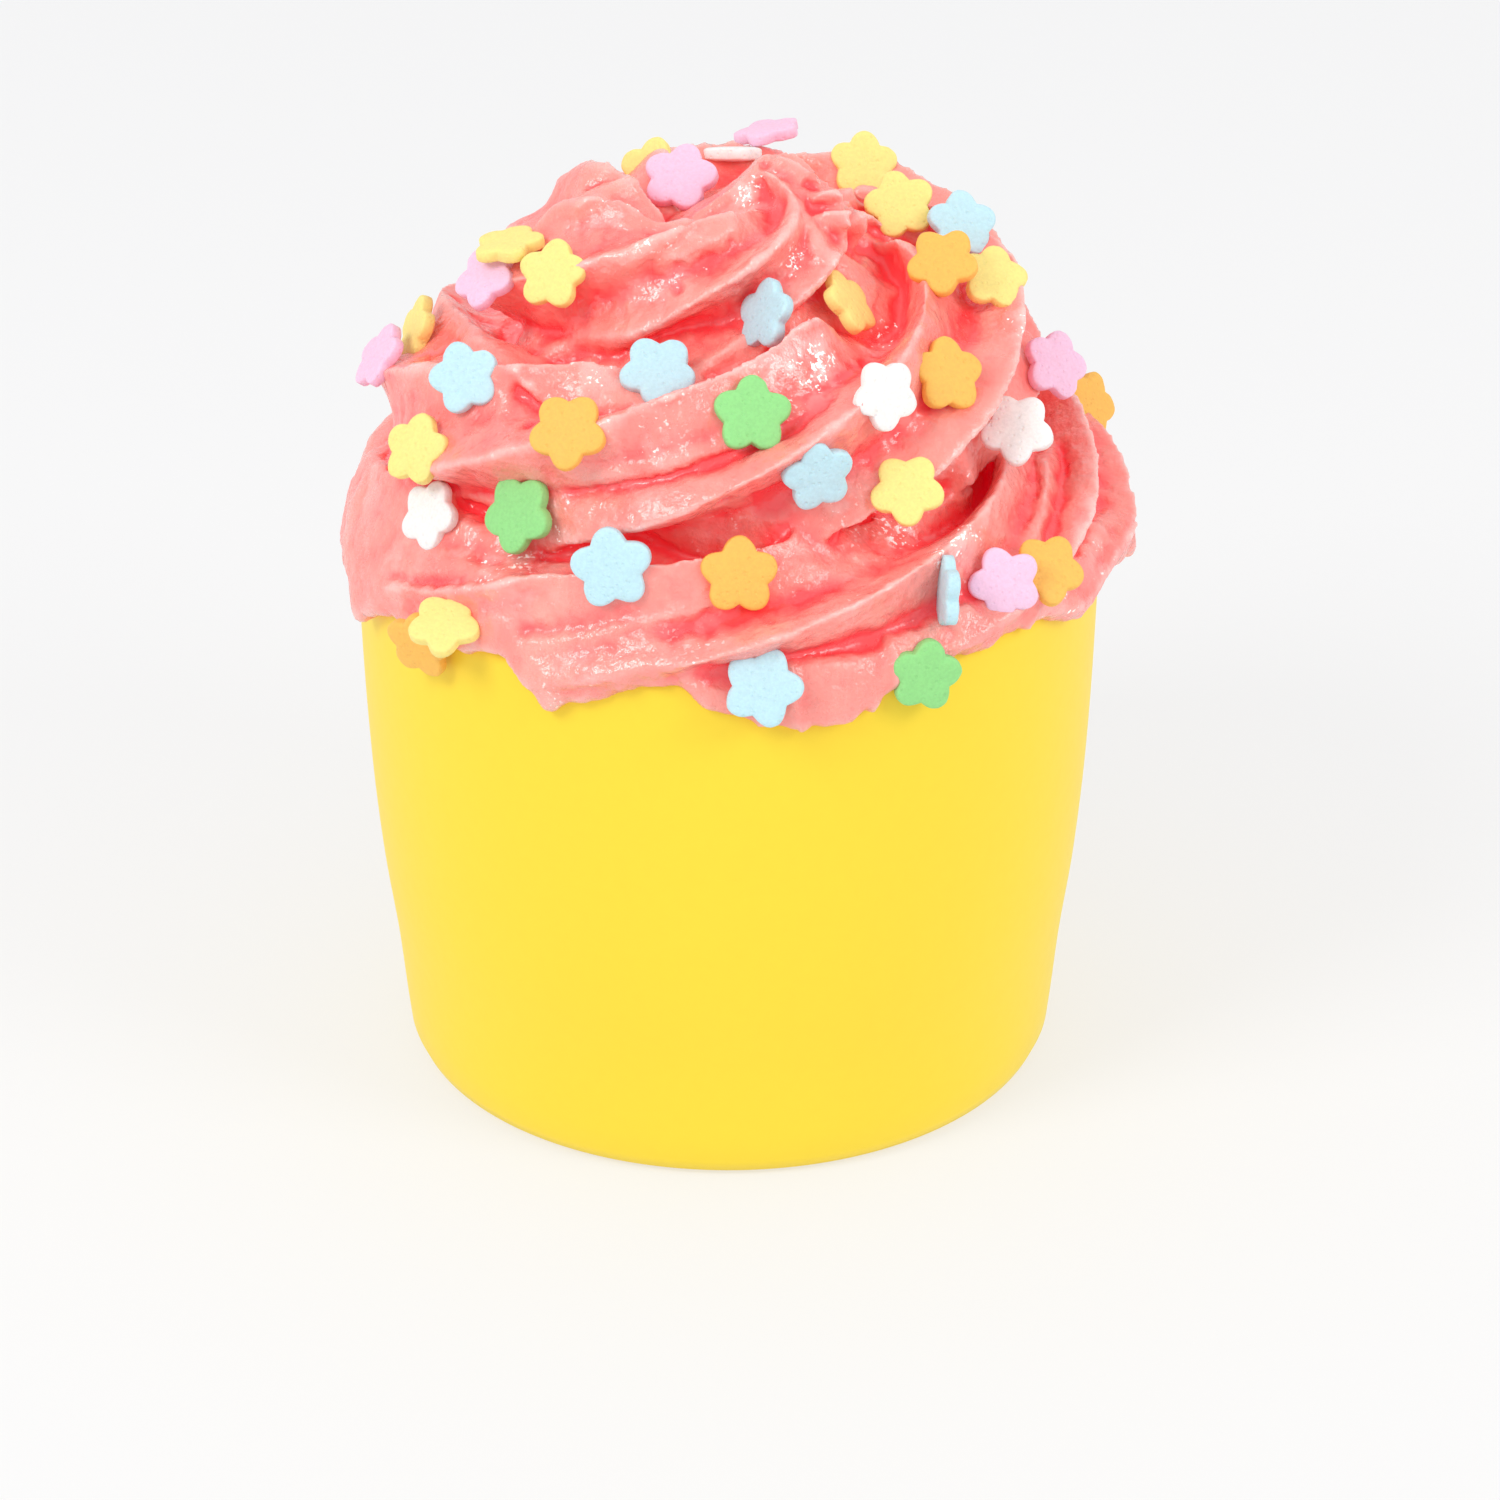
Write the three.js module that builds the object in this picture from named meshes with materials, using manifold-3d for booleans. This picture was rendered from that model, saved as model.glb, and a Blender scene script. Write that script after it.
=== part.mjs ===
// Cupcake: a card baking cup, the sponge that fills it and a piped frosting swirl.
// Millimetres, +Z up. The origin is the centre of the cup's flat base, and -Y faces the front.
import * as THREE from "three";
import { mergeVertices } from "three/addons/utils/BufferGeometryUtils.js";
import Module from "manifold-3d";

const wasm = await Module();
wasm.setup();

// ---------------------------------------------------------------- sizes: cup and sponge

const GAP = 0.3; // clear space between two pieces that touch in the real thing
const CUP_WALL = 0.7;
const CUP_FLOOR = 1.0;
const CUP_SIDES = 48;
const CAKE_SIDES = 28;
const CUP_HEIGHT = 48;
const CUP_BASE_RADIUS = 26.5; // of the flat part it stands on
const CUP_FOOT = [[27.6, 0.5], [28.1, 1.6], [28.35, 4]]; // rounded edge: [radius, height]
const CUP_SIDE = [[28.9, 10], [29.9, 18], [30.6, 27], [30.95, 36], [31.2, CUP_HEIGHT]]; // barrelled
const CAKE_EDGE_Z = 46; // where the sponge meets the wall
const CAKE_TOP_Z = 49.3; // top of its low dome
const CAKE_FLAT_RADIUS = 10;

// ---------------------------------------------------------------- sizes: frosting

// The swirl is a star-shaped rope laid anticlockwise, seen from above, while it rises and closes in.
// Each list runs from the rope's start to its tip: evenly, or at the shares of the way in SLOW or SLOWEST.
const START_DEG = -27.4; // where the rope begins: 0 is +X, -90 the front
const COIL_TURNS = 3.3;
const COIL_RADIUS = [26.5, 26.6, 26.3, 22.9, 19.4, 16.0, 8.6, 1.1];
const COIL_HEIGHT = [46.8, 48.6, 50.4, 56.3, 62.2, 67.1, 72.0, 76.9];
const EVEN = COIL_RADIUS.map((_, i) => i / 7);
const SLOW = [0, 0.35, 0.7, 1];
const ROPE_RADIUS = [8.7, 7.5, 8.5, 5.6];
const STAR_TWIST = [-0.15, -0.36, -0.46, -0.46]; // turns of the star for each turn of the coil
const SLOWEST = [0, 0.5, 1];
const LEAN_X = [0.1, -0.4, 4.0]; // the coil's axis wanders off the cup's
const LEAN_Y = [0.5, -0.2, 3.5];
const TEETH = 5;
const FIRST_TOOTH = 0.572; // of one tooth's angle
const GROOVE_DEPTH = 0.44; // share of the rope's radius
const TAPER_TURNS = 0.8; // the rope thins to a point over this last stretch
const TIP_SCALE = 0.05;
const RINGS_PER_TURN = 30;
const RINGS_PER_PIECE = 4;
const TOOTH_OUTLINE = [1, 0.45, 0.12, 0, 0.12, 0.45]; // from a crest, at 1, to the next one
const INNER_LIMIT = 0.6; // the rope stays this far outside the coil's axis

const CORE_DROP = 3.5; // the core lies this far below the rope's centre
const CORE_SIDES = 30;
const CORE_RINGS = 12;
const CORE_BOTTOM_Z = 40;

// On the left the frosting has slumped: its ridges are flatter there, and stop at these radii.
const SLUMP_DEG = 185;
const SLUMP_WIDTH_DEG = 95;
const SLUMP_SHARE = 0.35;
const SLUMP_LIMIT = 0.8; // share that a ridge is drawn in, of what stands out too far
const SLUMP_HEIGHT = [42, 47.3, 51, 54.6, 58.2, 61.8, 65.4, 68.8, 72.3, 75.8, 80];
const SLUMP_RADIUS = [33, 32.6, 31.4, 29.8, 29.4, 28.8, 26.8, 24, 20.4, 14.5, 6];

// The torn lower edge, round the cup: [degrees from +X, radius, height].
const EDGE = [
  [1, 34.0, 44.2], [12, 33.2, 46.2], [25, 32.6, 47.3], [38, 32.8, 44.8], [52, 32.5, 45.6],
  [66, 32.4, 47.3], [80, 32.8, 44.2], [97, 32.5, 45.2], [112, 32.4, 47.0], [126, 32.8, 44.5],
  [141, 32.5, 46.2], [152, 32.4, 47.4], [165, 32.8, 44.6], [179, 32.6, 46.6], [188, 33.0, 45.2],
  [196, 33.2, 43.0], [202, 32.7, 44.8], [212, 32.4, 46.3], [220, 32.4, 45.9], [227, 32.4, 46.4],
  [236, 32.4, 47.8], [239, 32.5, 46.6], [243, 32.7, 44.2], [247, 32.6, 44.5], [255, 32.4, 46.4],
  [262, 32.4, 47.2], [266, 32.4, 45.2], [276, 32.6, 44.0], [283, 32.7, 43.4], [288, 32.6, 43.8],
  [293, 32.4, 45.5], [304, 32.4, 46.7], [314, 32.3, 47.6], [321, 32.2, 47.9], [325, 32.4, 46.9],
  [330, 32.6, 45.8], [342, 32.6, 46.6], [350, 33.4, 46.2],
];
const EDGE_SIDES = 70;
const FLOOR_RISE = 0.5; // the rope's underside is pressed flat this far above the edge
const PRESSED = 0.07; // share of what would reach past those that still does
const FLARE = 0.45; // and may stand out by this much for each millimetre above it
const SKIRT = [[0.6, 0], [0, 1], [0.2, 2.6], [1.6, 4.2]]; // [in from the edge's radius, up from it]
const SKIRT_INSIDE = [[20, 46.9], [20, 51]]; // its inner bottom and top: [radius, height]
const SKIRT_SHIFT_X = 0.3;

// ---------------------------------------------------------------- helpers

// smooth curve through the knots that never overshoots them
function curve(knots, values) {
  const slopes = [];
  const steps = [];
  for (let i = 0; i + 1 < knots.length; i++) {
    steps.push(knots[i + 1] - knots[i]);
    slopes.push((values[i + 1] - values[i]) / steps[i]);
  }
  const tangents = values.map((_, i) => {
    if (i === 0) return slopes[0];
    if (i === values.length - 1) return slopes[i - 1];
    if (slopes[i - 1] * slopes[i] <= 0) return 0;
    const before = 2 * steps[i] + steps[i - 1];
    const after = steps[i] + 2 * steps[i - 1];
    return (before + after) / (before / slopes[i - 1] + after / slopes[i]);
  });
  return (x) => {
    let i = 0;
    while (i < steps.length - 1 && x > knots[i + 1]) i++;
    const t = THREE.MathUtils.clamp((x - knots[i]) / steps[i], 0, 1);
    const h = steps[i];
    return (
      (1 + 2 * t) * (1 - t) ** 2 * values[i] + t * (1 - t) ** 2 * h * tangents[i]
      + t * t * (3 - 2 * t) * values[i + 1] + t * t * (t - 1) * h * tangents[i + 1]
    );
  };
}

// a closed geometry as a solid that can be joined and cut
function solid(geometry) {
  const bare = geometry.index ? geometry.toNonIndexed() : geometry.clone();
  bare.deleteAttribute("normal");
  bare.deleteAttribute("uv");
  const merged = mergeVertices(bare, 1e-5);
  const points = merged.getAttribute("position").array;
  const faces = [];
  for (let i = 0; i < merged.index.count; i += 3) {
    const [a, b, c] = [0, 1, 2].map((k) => merged.index.getX(i + k));
    if (a !== b && b !== c && c !== a) faces.push(a, b, c);
  }
  return new wasm.Manifold(new wasm.Mesh({
    numProp: 3,
    vertProperties: new Float32Array(points),
    triVerts: new Uint32Array(faces),
  }));
}

// an outline [[radius, height], ...], from bottom to top, turned about an upright line at x = shift
function turned(outline, sides, shift = 0) {
  const points = [[0, outline[0][1]], ...outline, [0, outline.at(-1)[1]]];
  const lathe = new THREE.LatheGeometry(points.map(([r, z]) => new THREE.Vector2(r, z)), sides);
  return solid(lathe.rotateX(Math.PI / 2).translate(shift, 0, 0));
}

// rings of points, one above the other or one after the other, closed by a fan at each end
function skinned(rings) {
  const hub = (ring) => ring.reduce((sum, p) => sum.add(p), new THREE.Vector3()).divideScalar(ring.length);
  const triangles = [];
  const last = rings.length - 1;
  const around = rings[0].length;
  const [startHub, endHub] = [hub(rings[0]), hub(rings[last])];
  for (let j = 0; j < around; j++) {
    const k = (j + 1) % around;
    triangles.push(startHub, rings[0][k], rings[0][j]);
    for (let i = 0; i < last; i++) {
      triangles.push(rings[i][j], rings[i][k], rings[i + 1][k]);
      triangles.push(rings[i][j], rings[i + 1][k], rings[i + 1][j]);
    }
    triangles.push(endHub, rings[last][j], rings[last][k]);
  }
  return solid(new THREE.BufferGeometry().setFromPoints(triangles));
}

function joined(solids) {
  let rest = solids;
  while (rest.length > 1) {
    const pairs = [];
    for (let i = 0; i < rest.length; i += 2) {
      pairs.push(i + 1 < rest.length ? rest[i].add(rest[i + 1]) : rest[i]);
    }
    rest = pairs;
  }
  return rest[0];
}

// the largest closed skin: it leaves out crumbs cut loose and hollows shut inside
function largestSkin(body) {
  return body.decompose().reduce((best, skin) => (skin.volume() > best.volume() ? skin : best));
}

function part(name, body, colour, roughness) {
  const mesh = body.getMesh();
  const geometry = new THREE.BufferGeometry();
  geometry.setAttribute("position", new THREE.BufferAttribute(new Float32Array(mesh.vertProperties), 3));
  geometry.setIndex(new THREE.BufferAttribute(new Uint32Array(mesh.triVerts), 1));
  const material = new THREE.MeshStandardMaterial({ name, color: colour, roughness, metalness: 0 });
  const result = new THREE.Mesh(geometry, material);
  result.name = name;
  return result;
}

// ---------------------------------------------------------------- baking cup and sponge

const cupSide = [CUP_FOOT.at(-1), ...CUP_SIDE];
const cupRadius = curve(cupSide.map((p) => p[1]), cupSide.map((p) => p[0]));

// the inside face of the cup's wall moved inwards, from z = low to z = high
function cupInside(low, high, inwards) {
  const levels = cupSide.map((p) => p[1]).filter((z) => z > low + 1 && z < high - 1);
  return [low, ...levels, high].map((z) => [cupRadius(z) - CUP_WALL - inwards, z]);
}

function bakingCup() {
  const outside = turned([[CUP_BASE_RADIUS, 0], ...CUP_FOOT, ...CUP_SIDE], CUP_SIDES);
  const floor = [[CUP_BASE_RADIUS - 0.2, CUP_FLOOR], [CUP_FOOT[0][0] - 0.4, CUP_FLOOR + 0.6]];
  const inside = [...floor, ...cupInside(CUP_FOOT.at(-1)[1], CUP_HEIGHT, 0)];
  const above = [inside.at(-1)[0], CUP_HEIGHT + 1];
  return outside.subtract(turned([...inside, above], CUP_SIDES));
}

// the sponge's domed top, raised by a gap: [radius, height] from the wall to the middle
function cakeTop(raise) {
  return [
    [cupRadius(CAKE_EDGE_Z) - 5.5, (CAKE_EDGE_Z + CAKE_TOP_Z) / 2 + 0.6 + raise],
    [CAKE_FLAT_RADIUS, CAKE_TOP_Z + raise],
  ];
}

function cake() {
  const bottom = CUP_FLOOR + GAP;
  const foot = [[CUP_BASE_RADIUS - 0.8, bottom], [CUP_FOOT[0][0] - 0.9, bottom + 0.7]];
  const side = cupInside(CUP_FOOT.at(-1)[1], CAKE_EDGE_Z, GAP);
  return turned([...foot, ...side, ...cakeTop(0)], CAKE_SIDES);
}

// all that the frosting stays clear of
function cupAndCake() {
  const low = 30;
  const side = [low, 36, CUP_HEIGHT + GAP].map((z) => [cupRadius(Math.min(z, CUP_HEIGHT)) + GAP, z]);
  const rimInside = [cupRadius(CUP_HEIGHT) - CUP_WALL - GAP, CUP_HEIGHT + GAP];
  return turned([...side, rimInside, ...cakeTop(GAP)], CUP_SIDES);
}

// ---------------------------------------------------------------- frosting

const coilRadius = curve(EVEN, COIL_RADIUS);
const coilHeight = curve(EVEN, COIL_HEIGHT);
const ropeRadius = curve(SLOW, ROPE_RADIUS);
const leanX = curve(SLOWEST, LEAN_X);
const leanY = curve(SLOWEST, LEAN_Y);
const twistRate = curve(SLOW, STAR_TWIST);
const slumpRadius = curve(SLUMP_HEIGHT, SLUMP_RADIUS);
const loop = [...EDGE.slice(-3).map(([a, r, z]) => [a - 360, r, z]), ...EDGE];
loop.push(...EDGE.slice(0, 3).map(([a, r, z]) => [a + 360, r, z]));
const edgeRadius = curve(loop.map((e) => e[0]), loop.map((e) => e[1]));
const edgeHeight = curve(loop.map((e) => e[0]), loop.map((e) => e[2]));

// how far round the rope is at this share of its way, and the same in degrees from 0 to 360
function coilAngle(share) {
  return THREE.MathUtils.degToRad(START_DEG) + 2 * Math.PI * COIL_TURNS * share;
}

function degreesRound(angle) {
  return THREE.MathUtils.euclideanModulo(THREE.MathUtils.radToDeg(angle), 360);
}

function ropeCentre(share) {
  const angle = coilAngle(share);
  const r = coilRadius(share);
  return new THREE.Vector3(
    leanX(share) + r * Math.cos(angle), leanY(share) + r * Math.sin(angle), coilHeight(share));
}

// how far the star has turned in its own plane by this share of the way
function starAngle(share) {
  const slices = 40;
  let sum = 0;
  for (let i = 0; i < slices; i++) sum += twistRate((share * (i + 0.5)) / slices);
  return 2 * Math.PI * ((sum / slices) * share * COIL_TURNS + FIRST_TOOTH / TEETH);
}

// 1 where the frosting has slumped the most, 0 where it hasn't
function slump(angle) {
  const away = THREE.MathUtils.euclideanModulo(degreesRound(angle) - SLUMP_DEG + 180, 360) - 180;
  const near = THREE.MathUtils.clamp(away / SLUMP_WIDTH_DEG, -1, 1);
  return Math.cos((near * Math.PI) / 2) ** 2;
}

// draws in what stands out too far on the slumped side
function slumped(point) {
  const radius = Math.hypot(point.x, point.y);
  const over = Math.max(radius - slumpRadius(point.z), 0) * slump(Math.atan2(point.y, point.x));
  const scale = 1 - (SLUMP_LIMIT * over) / Math.max(radius, 1e-6);
  return new THREE.Vector3(point.x * scale, point.y * scale, point.z);
}

// The nozzle is held still while the hand circles, so the star keeps its bearing and only tips over
// to face along the rope. That is what sweeps its ridges up and round the swirl.
function ropeRing(share) {
  const centre = ropeCentre(share);
  const nudge = 0.0012;
  const ahead = ropeCentre(Math.min(share + nudge, 1));
  const along = ahead.sub(ropeCentre(Math.max(share - nudge, 0))).normalize();
  const tip = new THREE.Quaternion().setFromUnitVectors(new THREE.Vector3(0, 0, 1), along);
  const coil = coilAngle(share);
  const outwards = new THREE.Vector3(Math.cos(coil), Math.sin(coil), 0);
  const axis = new THREE.Vector3(leanX(share), leanY(share), 0);
  const left = THREE.MathUtils.clamp(((1 - share) * COIL_TURNS) / TAPER_TURNS, 0, 1);
  const radius = ropeRadius(share) * THREE.MathUtils.lerp(TIP_SCALE, 1, left ** 0.6);
  const depth = GROOVE_DEPTH * (1 - SLUMP_SHARE * slump(coil));
  const floor = edgeHeight(degreesRound(coil)) + FLOOR_RISE;
  const points = TEETH * TOOTH_OUTLINE.length;
  const ring = [];
  for (let j = 0; j < points; j++) {
    const angle = starAngle(share) + (2 * Math.PI * j) / points;
    const r = radius * (1 - depth * (1 - TOOTH_OUTLINE[j % TOOTH_OUTLINE.length]));
    const flat = new THREE.Vector3(r * Math.cos(angle), r * Math.sin(angle), 0);
    const point = flat.applyQuaternion(tip).add(centre);
    const reach = point.clone().sub(axis).dot(outwards);
    if (reach < INNER_LIMIT) point.addScaledVector(outwards, INNER_LIMIT - reach);
    point.z += (1 - PRESSED) * Math.max(floor - point.z, 0);
    const room = edgeRadius(degreesRound(coil)) + Math.max(point.z - floor, 0) * FLARE;
    const wide = Math.hypot(point.x, point.y);
    const scale = 1 - ((1 - PRESSED) * Math.max(wide - room, 0)) / wide;
    point.set(point.x * scale, point.y * scale, point.z);
    ring.push(slumped(point));
  }
  return ring;
}

function rope() {
  const count = Math.round((COIL_TURNS * RINGS_PER_TURN) / RINGS_PER_PIECE) * RINGS_PER_PIECE;
  const pieces = [];
  for (let first = 0; first < count; first += RINGS_PER_PIECE) {
    const rings = [];
    for (let i = first; i <= first + RINGS_PER_PIECE; i++) rings.push(ropeRing(i / count));
    pieces.push(skinned(rings));
  }
  return joined(pieces);
}

// the frosting inside the coil: level rings that follow the coil's radius, height and lean
function core() {
  const rings = [];
  for (let i = -1; i <= CORE_RINGS; i++) {
    const share = Math.max(i, 0) / CORE_RINGS;
    const z = i < 0 ? CORE_BOTTOM_Z : coilHeight(share) - CORE_DROP;
    const r = coilRadius(share);
    const ring = [];
    for (let j = 0; j < CORE_SIDES; j++) {
      const angle = (2 * Math.PI * j) / CORE_SIDES;
      ring.push(new THREE.Vector3(leanX(share) + r * Math.cos(angle), leanY(share) + r * Math.sin(angle), z));
    }
    rings.push(ring.map(slumped));
  }
  return skinned(rings);
}

// the lower edge: loops that go once round the cup and follow the torn edge's radius and height
function skirt() {
  const ring = (place) => {
    const points = [];
    for (let j = 0; j < EDGE_SIDES; j++) {
      const degrees = (360 * j) / EDGE_SIDES;
      const angle = THREE.MathUtils.degToRad(degrees);
      const [r, z] = place(edgeRadius(degrees), edgeHeight(degrees));
      points.push(new THREE.Vector3(SKIRT_SHIFT_X + r * Math.cos(angle), r * Math.sin(angle), z));
    }
    return points;
  };
  return skinned([
    ring(() => SKIRT_INSIDE[0]),
    ...SKIRT.map(([inset, rise]) => ring((r, z) => [r - inset, z + rise])),
    ring(() => SKIRT_INSIDE[1]),
  ]);
}

function frosting() {
  return largestSkin(joined([rope(), core(), skirt()]).subtract(cupAndCake()));
}

// ---------------------------------------------------------------- the whole

const cupcake = new THREE.Group();
cupcake.name = "cupcake";
cupcake.add(part("baking_cup", bakingCup(), "#ffd83c", 0.45));
cupcake.add(part("cake", cake(), "#e6b870", 0.9));
cupcake.add(part("frosting", frosting(), "#f47f7f", 0.4));
export default cupcake;
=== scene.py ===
"""A cupcake: a card baking cup, a piped frosting swirl and sugar flower sprinkles.

Laid out as an add-on and run as a script. Lengths are in metres unless a name ends in _MM. A name that
ends in _DEG holds degrees, and one that ends in _PX or _px holds pixels of the camera's view.
"""

import math
from collections import namedtuple

import bmesh
import bpy
import numpy as np
from mathutils import Matrix, Vector
from mathutils.bvhtree import BVHTree


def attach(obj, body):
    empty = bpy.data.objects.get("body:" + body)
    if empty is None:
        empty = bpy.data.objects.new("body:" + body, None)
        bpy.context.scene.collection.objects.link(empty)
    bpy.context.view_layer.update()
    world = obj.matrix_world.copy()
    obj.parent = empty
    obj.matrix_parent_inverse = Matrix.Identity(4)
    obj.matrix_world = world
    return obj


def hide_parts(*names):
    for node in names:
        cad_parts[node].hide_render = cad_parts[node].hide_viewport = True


bl_info = {
    "name": "Cupcake builder",
    "version": (1, 0, 0),
    "blender": (4, 5, 0),
    "location": "View3D > Sidebar > Cupcake",
    "description": "Makes a cupcake with a piped swirl and sugar flowers, on a plain stage",
    "category": "Object",
}

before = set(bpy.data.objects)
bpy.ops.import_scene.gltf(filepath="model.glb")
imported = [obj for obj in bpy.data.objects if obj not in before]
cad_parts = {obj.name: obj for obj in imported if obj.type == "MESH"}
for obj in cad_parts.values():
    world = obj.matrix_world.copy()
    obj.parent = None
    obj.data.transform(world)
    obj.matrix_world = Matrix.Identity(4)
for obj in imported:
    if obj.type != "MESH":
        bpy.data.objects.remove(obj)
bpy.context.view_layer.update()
MM = 0.001

# ------------------------------------------------------------------ sizes of the cup

CUP_TOP_MM = 48.0
CUP_WALL_MM = 0.6
CUP_RIM_MM = 0.2  # how far the rolled rim stands above the wall
CUP_INSIDE_MM = (25.9, 1.0)  # radius and height where the inside meets the base
CUP_LEVELS = 24
CUP_OUTLINE_MM = (  # outer radius and height, from the flat base up
    (26.5, 0.0), (27.6, 0.5), (28.1, 1.6), (28.35, 4.0), (28.9, 10.0), (29.9, 18.0), (30.6, 27.0),
    (30.95, 36.0), (31.15, 46.0), (31.2, CUP_TOP_MM),
)

# ------------------------------------------------------------------ sizes of the swirl

# A star-shaped rope laid anticlockwise, seen from above, while it rises and closes in. Each list runs
# evenly from the rope's start to its tip, or stands at the shares of the way that SLOW and SLOWEST give.
START_DEG = -27.4
COIL_TURNS = 3.3
COIL_RADIUS_MM = (26.5, 26.6, 26.3, 22.9, 19.4, 16.0, 8.6, 1.1)
COIL_HEIGHT_MM = (46.8, 48.6, 50.4, 56.3, 62.2, 67.1, 72.0, 76.9)
EVEN = tuple(i / 7 for i in range(8))
SLOW = (0.0, 0.35, 0.7, 1.0)
ROPE_RADIUS_MM = (8.7, 7.5, 8.5, 5.6)
STAR_TWIST = (-0.15, -0.36, -0.46, -0.46)  # turns of the star for each turn of the coil
SLOWEST = (0.0, 0.5, 1.0)
LEAN_X_MM = (0.1, -0.4, 4.0)
LEAN_Y_MM = (0.5, -0.2, 3.5)
FIRST_TOOTH = 0.572
TAPER_TURNS = 0.8
TAPER_POWER = 0.6
TIP_SCALE = 0.05
STEPS_PER_TURN = 150
SHARE_STEP = 0.0012
INNER_LIMIT_MM = 0.6
EDGE_GAP_MM = 0.2  # how far the rope stays above the lower edge

# The frosting inside the coil: how far its outside lies under the rope's centre, and where it starts.
CORE_DROP_MM = (3.5, 3.0, -0.5)
CORE_FOOT_MM = 40.0
CORE_LEVELS = 26
CORE_AROUND = 72

# Lumps of frosting that fill the gap right of the peak: x, y, z and radius.
FILL_MM = ((9.0, 4.5, 71.0, 4.0), (13.0, 6.5, 69.0, 4.5), (16.5, 8.0, 67.0, 4.0))

# On the left the frosting has slumped: its ridges are flatter there, and stop at these radii.
SLUMP_DEG = 180.0
SLUMP_WIDTH_DEG = 105.0
SLUMP_SHARE = 0.35
SLUMP_SPREAD = 1.8  # how soon the slump is full, going in from its ends
SLUMP_PULL = 0.8  # the share of what stands out that is drawn in
SLUMP_HEIGHT_MM = (42.0, 47.3, 51.0, 54.0, 56.4, 58.6, 60.4, 63.0, 65.4, 68.8, 72.3, 75.8, 80.0)
SLUMP_RADIUS_MM = (33.0, 32.6, 31.4, 29.6, 28.2, 28.8, 30.0, 28.4, 26.8, 24.0, 20.4, 14.5, 6.0)

# The lower edge, once round the cup: azimuth in degrees from +X, radius and height in millimetres.
EDGE = (
    (1, 34.0, 44.2), (12, 33.2, 46.2), (25, 32.6, 47.3), (38, 32.8, 44.8), (52, 32.5, 45.6),
    (66, 32.4, 47.3), (80, 32.8, 44.2), (97, 32.5, 45.2), (112, 32.4, 47.0), (126, 32.8, 44.5),
    (141, 32.5, 46.2), (152, 32.4, 47.4), (165, 32.8, 44.6), (179, 32.6, 46.6), (188, 32.6, 46.6),
    (195, 32.6, 46.4), (202, 34.0, 44.4), (208, 33.0, 45.8), (213, 32.4, 46.3), (220, 32.4, 45.9),
    (227, 32.4, 46.4), (236, 32.4, 47.8), (239, 32.5, 46.6), (243, 32.7, 44.2), (247, 32.6, 44.5),
    (255, 32.4, 46.4), (262, 32.4, 47.2), (266, 32.4, 45.2), (276, 32.6, 44.0), (283, 32.7, 43.4),
    (288, 32.6, 43.8), (293, 32.4, 45.5), (304, 32.4, 46.7), (314, 32.3, 47.6), (321, 32.2, 47.9),
    (325, 32.4, 46.9), (330, 32.6, 45.8), (342, 32.6, 46.6), (350, 33.4, 46.2),
)
TORN_MM = 0.3  # how uneven the edge is, at so many places round it, and how that varies
TORN_PLACES = 240
TORN_SHARES = (0.2, 1.6)
TORN_INWARDS = 0.5  # how uneven its radius is, as a share of its height's unevenness
TORN_SEED = 5

# The skirt that joins the lower edge to the rope: its rings in from the edge's radius and up from its
# height, the least height of the last ring, and its inner edge's radius, underside and top.
SKIRT_MM = ((0.6, 0.0), (0.0, 1.0), (0.2, 2.6), (1.2, 4.2))
SKIRT_TOP_MM = 49.2
SKIRT_INNER_MM = 20.0
SKIRT_INNER_HEIGHT_MM = (46.9, 51.0)
SKIRT_SHIFT_X_MM = 0.3
SKIRT_AROUND = 720

# How much the creases between all these shapes are softened, each time that they become one skin.
SOFTEN = 0.5
SOFTEN_STEPS = 2

# ------------------------------------------------------------------ camera

VIEW_SIZE_PX = 1500
LENS_MM = 108.02
SENSOR_MM = 36.0
CAMERA_PLACE = Vector((0.00182, -0.3439, 0.2043))
CAMERA_DOWN_DEG = 27.46

# ------------------------------------------------------------------ sizes of the stage

WHITE = (1.0, 1.0, 1.0, 1.0)
FLOOR_HALF = 1.5
BACK = 0.9
BACK_TOP = 1.6
SWEEP = 0.3  # radius of the curve between the floor and the backdrop
SWEEP_STEPS = 12
MAIN_LIGHT_PLACE = (-0.35, -0.3, 0.45)
FILL_LIGHT_PLACE = (0.4, -0.25, 0.35)
LIGHT_SIZE = 0.25
LIGHT_AIM = (0.0, 0.0, 0.04)

# ------------------------------------------------------------------ marks on the frosting, and where glints are painted on it

# Places where the soft frosting is pushed about. x_px and y_px place each in the camera's view of
# VIEW_SIZE_PX across, and it goes to the right and up there.
Grab = namedtuple("Grab", "x_px y_px right_mm up_mm reach_mm")
GRABS = (
    Grab(887, 272, 0.3, 1.8, 5.5),
    Grab(690, 138, 0.0, -1.0, 7.0),
    Grab(655, 205, 0.0, -1.2, 2.2),
    Grab(605, 180, 0.5, 0.4, 2.6),
    Grab(652, 172, 0.4, 1.6, 2.6),
    Grab(578, 200, 1.3, 0.0, 4.0),
    Grab(540, 235, 1.2, 0.0, 3.5),
    Grab(800, 345, 0.8, 2.0, 4.5),
    Grab(372, 436, 2.2, 0.0, 3.0),
    Grab(360, 500, -0.4, 0.0, 1.8),
    Grab(818, 196, -3.4, 2.2, 4.6),
    Grab(860, 190, -1.6, -0.6, 4.0),
    Grab(508, 218, 4.5, -1.5, 4.2),
    Grab(530, 260, -4.2, 0.6, 4.0),
    Grab(985, 265, 0.7, 0.6, 8.0),
    Grab(1024, 294, -1.6, 0.0, 4.5),
    Grab(530, 300, -2.5, 0.5, 5.0),
)
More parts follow.
